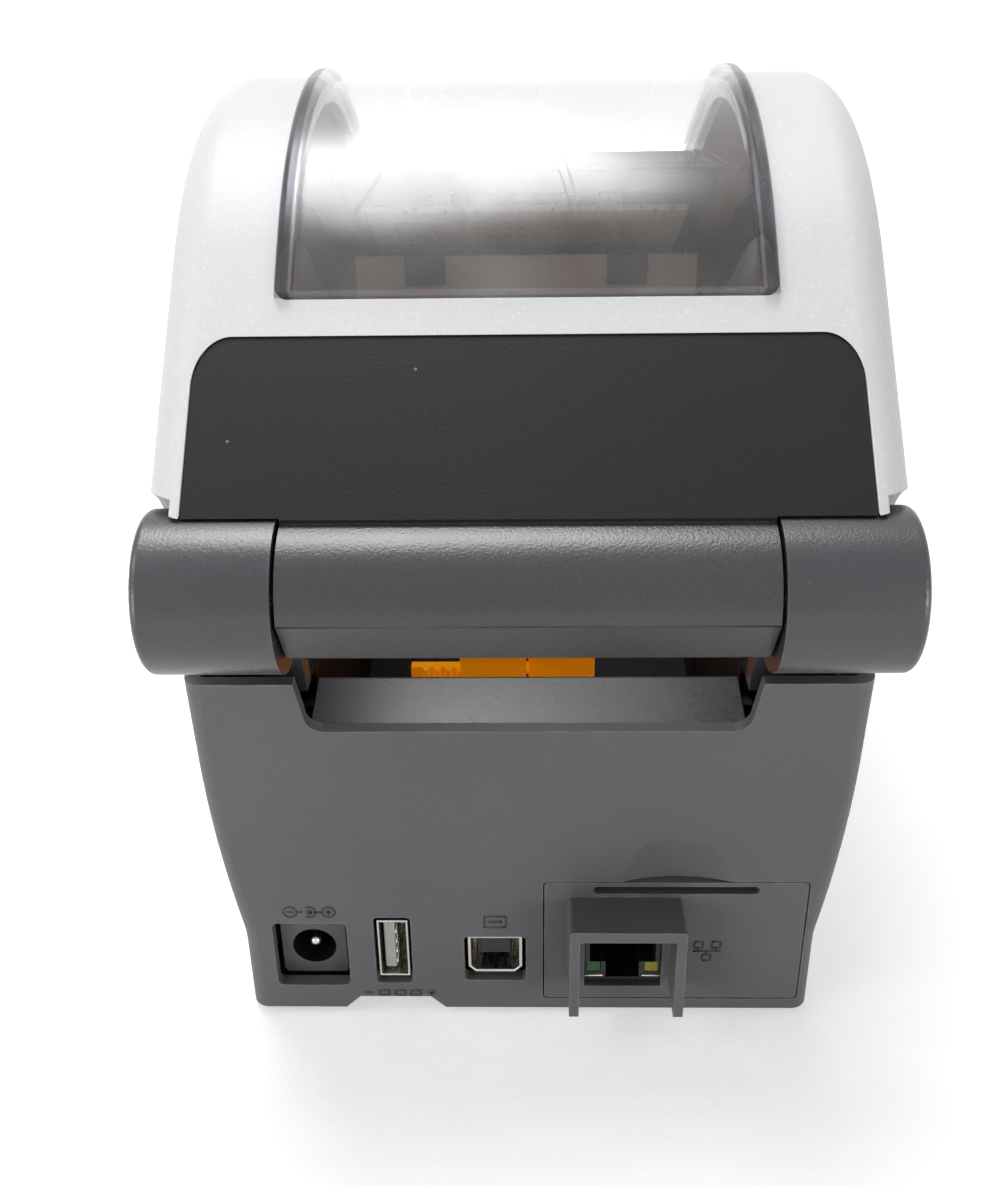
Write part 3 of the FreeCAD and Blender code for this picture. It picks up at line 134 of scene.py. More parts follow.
class Paint:
    """A node material with small helpers for its parts."""

    def __init__(self, name):
        self.material = bpy.data.materials.new(name)
        self.material.use_nodes = True
        self.nodes = self.material.node_tree.nodes
        self.links = self.material.node_tree.links
        self.shader = self.nodes["Principled BSDF"]
        self.where = self.nodes.new("ShaderNodeTexCoord").outputs["Object"]

    def set(self, **values):
        for key, value in values.items():
            self.shader.inputs[key.replace("_", " ")].default_value = value

    def noise(self, size, detail=3.0, rough=0.55, stretch=None):
        """Noise with grains of the given size in metres."""
        node = self.nodes.new("ShaderNodeTexNoise")
        node.inputs["Scale"].default_value = 1.0 / size
        node.inputs["Detail"].default_value = detail
        node.inputs["Roughness"].default_value = rough
        self.links.new(self.placed(stretch), node.inputs["Vector"])
        return node.outputs["Fac"]

    def cells(self, size, feature="F1", stretch=None, jitter=1.0):
        """Distance to scattered points about size metres apart."""
        node = self.nodes.new("ShaderNodeTexVoronoi")
        node.feature = feature
        node.inputs["Scale"].default_value = 1.0 / size
        node.inputs["Randomness"].default_value = jitter
        self.links.new(self.placed(stretch), node.inputs["Vector"])
        return node.outputs["Distance"]

    def placed(self, stretch):
        if stretch is None:
            return self.where
        node = self.nodes.new("ShaderNodeMapping")
        node.inputs["Scale"].default_value = stretch
        self.links.new(self.where, node.inputs["Vector"])
        return node.outputs["Vector"]

    def ramp(self, source, low, high, start, end):
        """Maps source from low..high to start..end."""
        node = self.nodes.new("ShaderNodeMapRange")
        node.inputs["From Min"].default_value = low
        node.inputs["From Max"].default_value = high
        node.inputs["To Min"].default_value = start
        node.inputs["To Max"].default_value = end
        self.links.new(source, node.inputs["Value"])
        return node.outputs["Result"]

    def mix(self, factor, first, second):
        """Colour between first and second by factor; each is a colour or a socket."""
        node = self.nodes.new("ShaderNodeMix")
        node.data_type = "RGBA"
        self.links.new(factor, node.inputs["Factor"])
        for name, value in (("A", first), ("B", second)):
            socket = [s for s in node.inputs if s.name == name and s.type == "RGBA"][0]
            if isinstance(value, tuple):
                socket.default_value = value
            else:
                self.links.new(value, socket)
        return [s for s in node.outputs if s.type == "RGBA"][0]

    def times(self, first, second):
        node = self.nodes.new("ShaderNodeMath")
        node.operation = "MULTIPLY"
        self.links.new(first, node.inputs[0])
        if isinstance(second, float):
            node.inputs[1].default_value = second
        else:
            self.links.new(second, node.inputs[1])
        return node.outputs["Value"]

    def plus(self, first, second):
        node = self.nodes.new("ShaderNodeMath")
        node.operation = "ADD"
        self.links.new(first, node.inputs[0])
        self.links.new(second, node.inputs[1])
        return node.outputs["Value"]

    def bump(self, height, depth, strength=1.0, under=None):
        """Bump from a 0..1 height socket, depth in metres."""
        node = self.nodes.new("ShaderNodeBump")
        node.inputs["Strength"].default_value = strength
        node.inputs["Distance"].default_value = depth
        self.links.new(height, node.inputs["Height"])
        if under:
            self.links.new(under, node.inputs["Normal"])
        return node.outputs["Normal"]

    def off_line(self, point, across):
        """Distance in metres from a line through point (millimetres); across is 0 along the line's own axis."""
        apart = self.nodes.new("ShaderNodeVectorMath")
        apart.operation = "SUBTRACT"
        apart.inputs[1].default_value = tuple(c * MM for c in point)
        self.links.new(self.where, apart.inputs[0])
        flat = self.nodes.new("ShaderNodeVectorMath")
        flat.operation = "MULTIPLY"
        flat.inputs[1].default_value = across
        self.links.new(apart.outputs["Vector"], flat.inputs[0])
        far = self.nodes.new("ShaderNodeVectorMath")
        far.operation = "LENGTH"
        self.links.new(flat.outputs["Vector"], far.inputs[0])
        return far.outputs["Value"]

    def grazing(self, sharpness):
        """0 where the surface is seen square on, rising to 1 where it is seen along itself, as gloss does."""
        weight = self.nodes.new("ShaderNodeLayerWeight")
        weight.inputs["Blend"].default_value = 0.5
        node = self.nodes.new("ShaderNodeMath")
        node.operation = "POWER"
        node.inputs[1].default_value = sharpness
        self.links.new(weight.outputs["Facing"], node.inputs[0])
        return node.outputs["Value"]

    def edges(self, radius):
        """About 1 on convex and concave edges within radius, 0 on flats."""
        bevel = self.nodes.new("ShaderNodeBevel")
        bevel.samples = 4
        bevel.inputs["Radius"].default_value = radius
        geometry = self.nodes.new("ShaderNodeNewGeometry")
        dot = self.nodes.new("ShaderNodeVectorMath")
        dot.operation = "DOT_PRODUCT"
        self.links.new(bevel.outputs["Normal"], dot.inputs[0])
        self.links.new(geometry.outputs["Normal"], dot.inputs[1])
        return self.ramp(dot.outputs["Value"], 0.985, 0.9, 0.0, 1.0)

    def use(self, **sockets):
        for key, source in sockets.items():
            self.links.new(source, self.shader.inputs[key.replace("_", " ")])


def moulded_plastic(name, colour, rough, grain=0.0004, depth=0.00005, worn=None, dust=0.0, mottle=0.08, matt_and_shade=None):
    """Textured moulding: fine spark-eroded grain, uneven gloss, pale worn edges and a little dust.
    matt picks out, from the paint, the part of the piece that is coarse and dull, and that part is painted darker as
    painted shade."""
    paint = Paint(name)
    broad = paint.noise(0.03, 4.0)
    fine = paint.noise(grain, 2.0, 0.6)
    shade = paint.mix(paint.ramp(broad, 0.3, 0.7, 0.0, 1.0), tone(colour, 1 - mottle), tone(colour, 1 + mottle))
    shade = paint.mix(paint.ramp(fine, 0.55, 0.8, 0.0, 0.35), shade, tone(colour, 1.5))
    if worn:
        rubbed = paint.times(paint.edges(0.0005), paint.ramp(paint.noise(0.004, 3.0), 0.4, 0.7, 0.1, 0.7))
        shade = paint.mix(rubbed, shade, worn)
    if dust:
        specks = paint.ramp(paint.cells(0.006), 0.045, 0.02, 0.0, 1.0)
        fibres = paint.ramp(paint.cells(0.012, stretch=(1.0, 0.22, 1.0)), 0.03, 0.012, 0.0, 1.0)
        film = paint.times(paint.plus(specks, fibres), dust)
        shade = paint.mix(film, shade, srgb(170, 168, 160))
    gloss = paint.ramp(paint.plus(broad, fine), 0.6, 1.4, rough - 0.08, rough + 0.08)
    if matt_and_shade:
        dull_and_shade = matt_and_shade(paint)
        # Painted shade: the picked-out part, the recessed roll well, is painted 0.6 darker for the shade in it, as well
        # as made duller.
        shade = paint.mix(dull_and_shade, shade, tone(colour, 0.6))
        gloss = paint.plus(gloss, paint.times(dull_and_shade, 0.35))
        paint.use(Specular_IOR_Level=paint.ramp(dull_and_shade, 0.0, 1.0, 0.8, 0.06))
    paint.use(Base_Color=shade)
    paint.use(Roughness=gloss)
    paint.use(Normal=paint.bump(fine, depth))
    return paint.material


def roll_well(paint):
    """1 inside the roll well of the chassis, where the paint is dull and painted darker as painted shade; 0 on its
    hinge knuckles.
    """
    axis = paint.off_line((0.0, WELL_Y, WELL_Z), (0.0, 1.0, 1.0))
    near = paint.ramp(axis, WELL_EDGE * MM, (WELL_EDGE - 0.6) * MM, 0.0, 1.0)
    middle = paint.off_line((0.0, 0.0, 0.0), (1.0, 0.0, 0.0))
    between = paint.ramp(middle, WELL_SIDE * MM, (WELL_SIDE - 0.6) * MM, 0.0, 1.0)
    return paint.times(near, between)


def clear_plastic(name):
    """Thin clear polycarbonate: a faint glossy skin with scuffs, denser where it is seen edge on; its side cheeks are
    painted grey and denser as painted shade and reflection.
    """
    paint = Paint(name)
    paint.set(Metallic=1.0)
    middle = paint.off_line((0.0, 0.0, 0.0), (1.0, 0.0, 0.0))
    # Painted shade and reflection: the side cheeks are painted grey and made denser, standing in for how dark they look
    # edge on.
    cheek_shade = paint.ramp(middle, CHEEK_X * MM, (CHEEK_X + 0.6) * MM, 0.0, 1.0)
    scuff = paint.cells(0.02, "DISTANCE_TO_EDGE", (1.0, 0.12, 1.0))
    haze = paint.noise(0.025, 5.0)
    lines = paint.ramp(scuff, 0.004, 0.0, 0.0, 0.22)
    paint.use(Base_Color=paint.mix(cheek_shade, (0.95, 0.955, 0.96, 1.0), srgb(104, 106, 110)))
    skin = paint.plus(paint.ramp(haze, 0.35, 0.75, 0.03, 0.06), paint.times(paint.grazing(3.5), 0.75))
    paint.use(Alpha=paint.plus(skin, paint.times(cheek_shade, 0.3)))
    paint.use(Roughness=paint.plus(paint.ramp(haze, 0.35, 0.75, 0.2, 0.28), lines))
    paint.use(Normal=paint.bump(paint.noise(0.018, 1.0), 0.00003, 0.5))
    return paint.material


def amber_plastic(name):
    """Translucent amber moulding with flow marks, and a faint glow that is painted light."""
    paint = Paint(name)
    paint.set(Transmission_Weight=0.35, IOR=1.5, Subsurface_Weight=0.4, Subsurface_Scale=0.004)
    # Painted light: the amber emission is a glow standing in for light gathered through the translucent moulding.
    paint.set(Subsurface_Radius=(1.0, 0.6, 0.06), Emission_Color=srgb(255, 178, 10), Emission_Strength=0.16)
    flow = paint.noise(0.012, 4.0)
    paint.use(Base_Color=paint.mix(paint.ramp(flow, 0.3, 0.7, 0.0, 1.0), srgb(244, 164, 14), srgb(254, 190, 40)))
    paint.use(Roughness=paint.ramp(flow, 0.3, 0.7, 0.2, 0.34))
    paint.use(Normal=paint.bump(paint.noise(0.0015, 2.0), 0.00002))
    return paint.material


def plated_metal(name, colour, rough, brushed=(1.0, 1.0, 1.0)):
    """Bright metal with fine draw lines, stains and rubbed edges."""
    paint = Paint(name)
    paint.set(Metallic=1.0)
    lines = paint.noise(0.0006, 3.0, 0.6, brushed)
    stains = paint.noise(0.006, 4.0)
    shade = paint.mix(paint.ramp(stains, 0.4, 0.75, 0.0, 0.8), colour, tone(colour, 0.78))
    shade = paint.mix(paint.times(paint.edges(0.0003), 0.5), shade, tone(colour, 1.2))
    paint.use(Base_Color=shade)
    paint.use(Roughness=paint.ramp(paint.plus(lines, stains), 0.7, 1.3, rough - 0.06, rough + 0.12))
    paint.use(Normal=paint.bump(lines, 0.00002))
    return paint.material


def soft_rubber(name, colour):
    """Dull rubber with a ground surface and pale bloom."""
    paint = Paint(name)
    bloom = paint.noise(0.008, 5.0)
    pale = tuple(c * 2.2 + 0.01 for c in colour[:3]) + (1.0,)
    paint.use(Base_Color=paint.mix(paint.ramp(bloom, 0.5, 0.8, 0.0, 0.7), colour, pale))
    paint.use(Roughness=paint.ramp(bloom, 0.3, 0.7, 0.72, 0.9))
    paint.use(Normal=paint.bump(paint.noise(0.0005, 3.0), 0.00006))
    return paint.material


def circuit_board(name, mask, over_copper):
    """Solder mask over copper tracks, with bare pads."""
    paint = Paint(name)
    tracks = paint.ramp(paint.cells(0.005, "DISTANCE_TO_EDGE", (1.0, 0.6, 1.0), 0.35), 0.05, 0.09, 1.0, 0.0)
    pads = paint.ramp(paint.cells(0.0035, jitter=0.4), 0.2, 0.16, 0.0, 1.0)
    shade = paint.mix(tracks, mask, over_copper)
    shade = paint.mix(pads, shade, srgb(196, 176, 120))
    paint.use(Base_Color=shade)
    paint.use(Roughness=paint.ramp(paint.noise(0.004), 0.3, 0.7, 0.3, 0.45))
    paint.use(Normal=paint.bump(tracks, 0.00004))
    return paint.material


def lamp_lens(name, colour):
    """A small tinted lens, unlit."""
    paint = Paint(name)
    paint.set(Transmission_Weight=0.25, IOR=1.5)
    cloud = paint.noise(0.002, 2.0)
    paint.use(Base_Color=paint.mix(cloud, tone(colour, 0.7), colour))
    paint.use(Roughness=paint.ramp(cloud, 0.3, 0.7, 0.25, 0.4))
    return paint.material


def frame_plastic(name):
    """The lid frame: near-black satin panel with dust, and a coarser grain on the round hinge barrel, which is painted
    paler than the panel as painted light.
    """
    paint = Paint(name)
    axis = paint.off_line((0.0, HINGE_Y, HINGE_Z), (0.0, 1.0, 1.0))
    barrel = paint.ramp(axis, (COVER_R + 0.4) * MM, (COVER_R + 0.2) * MM, 0.0, 1.0)
    broad = paint.noise(0.03, 4.0)
    fine = paint.noise(0.0004, 2.0)
    pebble = paint.noise(0.0005, 2.0, 0.5)
    panel = paint.mix(broad, srgb(19, 19, 22), srgb(25, 25, 29))
    specks = paint.ramp(paint.cells(0.007), 0.04, 0.022, 0.0, 0.5)
    panel = paint.mix(specks, panel, srgb(176, 172, 160))
    # Painted light: the barrel, part of the same moulding as the panel, is painted paler for the light its curve
    # catches.
    barrel_lit_tone = paint.mix(paint.ramp(pebble, 0.35, 0.7, 0.0, 1.0), srgb(38, 38, 41), srgb(49, 48, 51))
    paint.use(Base_Color=paint.mix(barrel, panel, barrel_lit_tone))
    paint.use(Roughness=paint.plus(paint.ramp(broad, 0.3, 0.7, 0.46, 0.54), paint.times(barrel, -0.17)))
    paint.use(Specular_IOR_Level=paint.ramp(barrel, 0.0, 1.0, 0.25, 0.75))
    first = paint.bump(fine, 0.00004)
    paint.use(Normal=paint.bump(paint.times(pebble, barrel), 0.00003, 1.0, first))
    return paint.material


def inlet_plastic(name):
    """The power inlet: grey face like the wall's, painted near black inside its bore as painted shade of the deep hole.
    """
    paint = Paint(name)
    axis = paint.off_line((INLET_X, 0.0, INLET_Z), (1.0, 0.0, 1.0))
    bore = paint.ramp(axis, INLET_BORE * MM, (INLET_BORE - 0.1) * MM, 0.0, 1.0)
    cloud = paint.noise(0.004, 3.0)
    fine = paint.noise(0.0003, 2.0)
    face = paint.mix(paint.ramp(cloud, 0.3, 0.7, 0.0, 1.0), srgb(78, 79, 82), srgb(90, 91, 94))
    # Painted shade: inside the bore the colour is painted near black for the shade in the hole.
    paint.use(Base_Color=paint.mix(bore, face, srgb(14, 14, 15)))
    paint.use(Roughness=paint.ramp(cloud, 0.3, 0.7, 0.4, 0.52))
    paint.use(Normal=paint.bump(fine, 0.00003))
    return paint.material


EDGE_GREY = srgb(150, 150, 152)
HINGE_GREY = srgb(46, 47, 52)
HINGE_EDGE = srgb(96, 96, 98)
PAINTS = {
    "housing": moulded_plastic("housing_plastic", srgb(92, 92, 95), 0.52, 0.00045, 0.00005, EDGE_GREY, 0.04),
    "hinge": moulded_plastic("hinge_plastic", HINGE_GREY, 0.33, 0.00045, 0.00004, HINGE_EDGE, 0.05),
    "frame": frame_plastic("lid_frame_plastic"),
    "panel": moulded_plastic("panel_plastic", srgb(46, 47, 50), 0.5, 0.00035, 0.00004, srgb(110, 110, 112), 0.3),
    "ramp": moulded_plastic("ramp_plastic", srgb(62, 62, 64), 0.3, 0.0008, 0.00001, EDGE_GREY, 0.03),
    "chassis": moulded_plastic("chassis_plastic", HINGE_GREY, 0.33, 0.00045, 0.00004, HINGE_EDGE, 0.05, matt_and_shade=roll_well),
    "beam": moulded_plastic("beam_enamel", srgb(232, 230, 224), 0.38, 0.0008, 0.00002,
                            srgb(240, 240, 238), 0.0, 0.03),
    "white": moulded_plastic("shell_plastic", srgb(214, 215, 217), 0.45, 0.0006, 0.00002,
                             srgb(220, 220, 221), 0.0, 0.02),
    "inlet": inlet_plastic("inlet_plastic"),
    "black": moulded_plastic("black_plastic", srgb(24, 24, 26), 0.4, 0.0004, 0.00003, srgb(70, 70, 72), 0.1),
    "gear": moulded_plastic("gear_plastic", srgb(214, 208, 192), 0.42, 0.0006, 0.00003,
                            srgb(236, 232, 220), 0.0, 0.05),
    "ceramic": moulded_plastic("head_ceramic", srgb(206, 196, 176), 0.22, 0.0008, 0.00002,
                               srgb(230, 224, 210), 0.0, 0.05),
    "clear": clear_plastic("clear_plastic"),
    "amber": amber_plastic("amber_plastic"),
    "nickel": plated_metal("nickel_plate", srgb(206, 203, 196), 0.24, (1.0, 0.2, 1.0)),
    "steel": plated_metal("steel", srgb(186, 187, 189), 0.32, (0.15, 1.0, 1.0)),
    "aluminium": plated_metal("aluminium", srgb(212, 212, 210), 0.36, (0.1, 1.0, 1.0)),
    "sign": moulded_plastic("sign_plastic", srgb(44, 44, 46), 0.5, 0.0003, 0.00003),
    "key_sign": moulded_plastic("key_sign_ink", srgb(206, 208, 210), 0.5, 0.0002, 0.00001),
    "gold": plated_metal("contact_gold", srgb(222, 186, 96), 0.26, (1.0, 0.2, 1.0)),
    "rubber": soft_rubber("platen_rubber", srgb(34, 33, 33)),
    "feet": soft_rubber("foot_rubber", srgb(26, 26, 27)),
    "board": circuit_board("circuit_board", srgb(18, 74, 40), srgb(34, 104, 58)),
    "pale_board": circuit_board("pale_circuit_board", srgb(214, 216, 212), srgb(226, 227, 224)),
    "milky": lamp_lens("indicator_lens", srgb(206, 212, 206)),
    "green": lamp_lens("green_lens", srgb(44, 118, 66)),
    "yellow": lamp_lens("yellow_lens", srgb(206, 190, 40)),
}
NODE_PAINT = {
    "base_housing": "housing", "bottom_cover": "housing", "front_bezel": "housing", "module_door": "housing",
    "chassis": "chassis", "fanfold_ramp": "ramp", "lid_frame": "frame", "control_panel": "panel",
    "lid_shell": "white", "window": "clear", "guide_right": "amber", "guide_left": "amber",
    "rubber_feet": "feet", "platen_roller": "rubber", "platen_bearings": "gear", "platen_gear": "gear",
    "idler_gear": "gear", "motor_pinion": "gear", "guide_pinion": "gear", "media_sensor": "black",
    "main_board": "board", "module_board": "board", "key_board": "pale_board", "dc_jack": "inlet", "dc_pin": "nickel",
    "usb_host_port": "nickel", "usb_device_port": "nickel", "usb_host_tongue": "milky", "usb_device_tongue": "black",
    "network_jack": "black", "led_green": "green", "led_yellow": "yellow", "indicator_lights": "milky",
    "feed_button": "hinge", "pause_button": "hinge", "cancel_button": "hinge", "power_button": "hinge",
    "thermal_head": "ceramic", "heat_sink": "aluminium", "latch_right": "hinge", "latch_left": "hinge",
    "head_spring_caps": "black", "guide_rail": "black", "head_beam": "beam",
}


def dress(node, obj):
    """Paints a solid and softens its edges as moulded ones are."""
    obj.data.materials.clear()
    obj.data.materials.append(PAINTS[NODE_PAINT.get(node, "steel")])
    for face in obj.data.polygons:
        face.use_smooth = True
    weld = obj.modifiers.new("weld", "WELD")
    weld.merge_threshold = 1e-6
    flats = obj.modifiers.new("flats", "DECIMATE")
    flats.decimate_type = "DISSOLVE"
    flats.angle_limit = math.radians(0.6)
    bevel = obj.modifiers.new("edge", "BEVEL")
    bevel.width = EDGE_WIDTH
    bevel.segments = 2
    bevel.limit_method = "ANGLE"
    bevel.angle_limit = math.radians(32)
    bevel.harden_normals = True
    bevel.use_clamp_overlap = True
    low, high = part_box(node)
    if min(h - l for l, h in zip(low, high)) < THIN_PIECE:
        bevel.width = THIN_EDGE_WIDTH
    even = obj.modifiers.new("even", "WEIGHTED_NORMAL")
    even.weight = 100
    even.keep_sharp = True


for node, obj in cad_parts.items():
    dress(node, obj)


# Mesh helpers for the pieces that only this script makes

def add_mesh(name, form, paint, body):
    """Makes an object of a bmesh in millimetres and lets it ride on a body."""
    mesh = bpy.data.meshes.new(name)
    bmesh.ops.scale(form, vec=(MM, MM, MM), verts=form.verts)
    bmesh.ops.recalc_face_normals(form, faces=form.faces)
    form.to_mesh(mesh)
    form.free()
    mesh.materials.append(PAINTS[paint])
    for face in mesh.polygons:
        face.use_smooth = True
    obj = bpy.data.objects.new(name, mesh)
    bpy.context.collection.objects.link(obj)
    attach(obj, body)
    return obj


def sweep(form, rings, closed_ends=True):
    """Skins a run of equal rings of points; the ends are closed by flat faces."""
    rows = [[form.verts.new(point) for point in ring] for ring in rings]
    count = len(rows[0])
    for first, second in zip(rows, rows[1:]):
        for k in range(count):
            form.faces.new((first[k], first[(k + 1) % count], second[(k + 1) % count], second[k]))
    if closed_ends:
        form.faces.new(rows[0])
        form.faces.new(rows[-1])
    return rows


def sharpen(obj, degrees):
    """Keeps edges steeper than the angle crisp."""
    obj.data.set_sharp_from_angle(angle=math.radians(degrees))


# The clear window: a bent tray that follows the lid's arc, drawn far finer than the solid

def lid_line(count):
    """Points of the lid's outer line under the window, rear to front, each with its outward direction."""
    line = []
    back = math.radians(BACK_TURN)
    rear = (ARC_Y + SHELL_R * math.cos(back), ARC_Z + SHELL_R * math.sin(back))
    run = (WINDOW_REAR_Y - rear[0]) / math.sin(back)
    out = (math.cos(back), math.sin(back))
    for share in (0.0, 0.5):
        along = run * (1 - share)
        line.append(((rear[0] + along * out[1], rear[1] - along * out[0]), out))
    for k in range(count):
        turn = math.radians(BACK_TURN + (90 + SLOPE - BACK_TURN) * k / (count - 1))
        out = (math.cos(turn), math.sin(turn))
        line.append(((ARC_Y + SHELL_R * out[0], ARC_Z + SHELL_R * out[1]), out))
    last, out = line[-1]
    run = (last[0] - WINDOW_FRONT_Y) / math.cos(math.radians(SLOPE))
    for share in (0.5, 1.0):
        line.append(((last[0] - run * share * out[1], last[1] + run * share * out[0]), out))
    return line


def round_corner(centre, radius, start, steps=5):
    """Points of a quarter turn about centre, beginning at the angle start."""
    turns = [math.radians(start - 90 * k / steps) for k in range(steps + 1)]
    return [(centre[0] + radius * math.cos(t), centre[1] + radius * math.sin(t)) for t in turns]


def add_window():
    """The bent tray with its rounded section, and a bar across each end."""
    half, top, floor, low, wall, soft = WINDOW_HALF, 1.5, -0.8, -4.2, 2.0, 1.1
    section = [(-half, low)]
    section += round_corner((-half + soft, top - soft), soft, 180)
    section += round_corner((half - soft, top - soft), soft, 90)
    section += [(half, low), (half - wall, low)]
    section += reversed(round_corner((half - wall - soft, floor - soft), soft, 90))
    section += reversed(round_corner((-half + wall + soft, floor - soft), soft, 180))
    section += [(-half + wall, low)]
    form = bmesh.new()
    line = lid_line(64)
    rings = []
    for (y, z), out in line:
        rings.append([(x, y + n * out[0], z + n * out[1]) for x, n in section])
    sweep(form, rings)
    for end, step in ((0, 1), (-1, -1)):
        (y, z), out = line[end]
        inward = (-out[1] * step, out[0] * step)
        bars = []
        for away in (0.05, 1.8):
            near = (y + inward[0] * away, z + inward[1] * away)
            edge = half - wall - 0.05
            bars.append([(x, near[0] + n * out[0], near[1] + n * out[1])
                         for x, n in ((-edge, low), (-edge, floor - 0.05), (edge, floor - 0.05), (edge, low))])
        sweep(form, bars)
    window = add_mesh("window_pane", form, "clear", "lid")
    sharpen(window, 40)
    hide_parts("window")


# Signs moulded into the port wall

def bar_corners(start, end, width):
    """The four corners of a straight bar drawn between two flat places."""
    run = Vector((end[0] - start[0], end[1] - start[1]))
    side = Vector((-run.y, run.x)).normalized() * width / 2
    return [Vector(start) + side, Vector(end) + side, Vector(end) - side, Vector(start) - side]


def strip(form, start, end, width, y, depth=0.12):
    """A thin bar between two places on the port wall, given as x and z."""
    corners = bar_corners(start, end, width)
    sweep(form, [[(c.x, level, c.y) for c in corners] for level in (y - 0.3, y + depth)])


def bow(form, centre, radius, width, turns, y, depth=0.12, steps=28):
    """A flat ring, or part of one, on the port wall."""
    first, last = turns
    rings = []
    for k in range(steps + 1):
        turn = math.radians(first + (last - first) * k / steps)
        ring = []
        for reach, level in ((-1, y - 0.3), (1, y - 0.3), (1, y + depth), (-1, y + depth)):
            far = radius + reach * width / 2
            ring.append((centre[0] + far * math.cos(turn), level, centre[1] + far * math.sin(turn)))
        rings.append(ring)
    sweep(form, rings, abs(last - first) < 360)
    if abs(last - first) >= 360:
        bmesh.ops.remove_doubles(form, verts=form.verts, dist=1e-4)


def frame_sign(form, centre, half_w, half_h, width, y):
    """The outline of a small rectangle."""
    x, z = centre
    corners = [(x - half_w, z - half_h), (x + half_w, z - half_h), (x + half_w, z + half_h), (x - half_w, z + half_h)]
    for first, second in zip(corners, corners[1:] + corners[:1]):
        strip(form, first, second, width, y)


def wall_y(z):
    """Depth of the port wall's outer face at a height: upright below, then a shallow arc."""
    flat_z, top_z, reach = 20.0, 73.0, 2.6
    if z <= flat_z:
        return PORT_WALL_Y
    share = (z - flat_z) / (top_z - flat_z)
    return PORT_WALL_Y + reach * share ** 2


def add_signs():
    """Polarity sign, network sign, a row of contact marks and a plain port sign."""
    line = 0.34
    form = bmesh.new()
    z = 24.3
    y = wall_y(z)
    spots = (42.0, 38.6, 35.2)
    for x in (spots[0], spots[2]):
        bow(form, (x, z), 1.15, line, (0, 360), y)
        strip(form, (x - 0.55, z), (x + 0.55, z), line, y)
    strip(form, (spots[2], z - 0.55), (spots[2], z + 0.55), line, y)
    bow(form, (spots[1], z), 1.15, line, (60, 300), y)
    bow(form, (spots[1], z), 0.3, 0.5, (0, 360), y)
    strip(form, (spots[0] - 1.2, z), (spots[1] + 1.2, z), line, y)
    strip(form, (spots[1], z), (spots[2] + 1.2, z), line, y)
    add_mesh("polarity_sign", form, "sign", "base")

    form = bmesh.new()
    z = 16.9
    for x in (-30.2, -33.3):
        frame_sign(form, (x, z), 0.75, 0.7, SIGN_LINE, PORT_WALL_Y)
    frame_sign(form, (-31.7, 13.9), 0.75, 0.7, SIGN_LINE, PORT_WALL_Y)
    strip(form, (-29.2, 15.4), (-34.2, 15.4), SIGN_LINE, PORT_WALL_Y)
    for x, start, end in ((-30.2, 15.4, 16.2), (-33.3, 15.4, 16.2), (-31.7, 14.6, 15.4)):
        strip(form, (x, start), (x, end), SIGN_LINE, PORT_WALL_Y)
    add_mesh("network_sign", form, "sign", "base")

    form = bmesh.new()
    z = 5.2
    strip(form, (29.95, z), (28.4, z), 0.4, PORT_WALL_Y)
    for x in (26.35, 23.4, 20.6):
        frame_sign(form, (x, z), 0.9, 0.55, 0.34, PORT_WALL_Y)
    strip(form, (18.5, z), (16.9, z), 0.4, PORT_WALL_Y)
    strip(form, (17.7, z - 0.75), (17.7, z + 0.75), 0.4, PORT_WALL_Y)
    add_mesh("contact_marks", form, "sign", "base")

    form = bmesh.new()
    z = 21.9
    y = wall_y(z)
    frame_sign(form, (5.9, z + 0.2), 1.9, 1.25, 0.32, y)
    strip(form, (4.7, z + 0.2), (7.1, z + 0.2), 0.5, y)
    add_mesh("port_sign", form, "sign", "base")


# Small hardware inside the ports, too fine for the solids

def block(form, low, high, nick=0.12):
    """A block with nicked upright edges, between two corners."""
    (x0, y0, z0), (x1, y1, z1) = low, high
    outline = [(x0 + nick, y0), (x1 - nick, y0), (x1, y0 + nick), (x1, y1 - nick),
               (x1 - nick, y1), (x0 + nick, y1), (x0, y1 - nick), (x0, y0 + nick)]
    sweep(form, [[(x, y, level) for x, y in outline] for level in (z0, z1)])


def add_contacts():
    """Contact strips in the network jack and the host port, and the lips of the jack's shield."""
    form = bmesh.new()
    for k in range(8):
        x = JACK_X + (k - 3.5) * JACK_PITCH
        block(form, (x - 0.2, 73.0, 15.6), (x + 0.2, 84.6, 15.9), 0.05)
    add_mesh("jack_contacts", form, "gold", "base")

    form = bmesh.new()
    for k in range(4):
        z = 11.0 + 2.3 * k
        block(form, (HOST_X, 76.0, z - 0.5), (HOST_X + 0.28, 86.2, z + 0.5), 0.05)
    add_mesh("port_contacts", form, "nickel", "base")

    form = bmesh.new()
    for x in (JACK_X + 5.5, JACK_X - 5.5):
        block(form, (x - 2.0, 86.7, 8.5), (x + 2.0, 87.25, 8.85), 0.1)
    add_mesh("jack_shield_lips", form, "nickel", "base")


def add_barrel_seam():
    """The parting line that runs along the hinge barrel."""
    form = bmesh.new()
    rings = []
    for x in (-BARREL_HALF + 0.1, BARREL_HALF - 0.1):
        ring = []
        for turn, reach in ((1.3, -0.2), (1.3, 0.03), (2.4, 0.03), (2.4, -0.2)):
            angle = math.radians(turn)
            far = COVER_R + reach
            ring.append((x, HINGE_Y + far * math.cos(angle), HINGE_Z + far * math.sin(angle)))
        rings.append(ring)
    sweep(form, rings)
    add_mesh("barrel_seam", form, "black", "lid")


# Key symbols on the sloping front

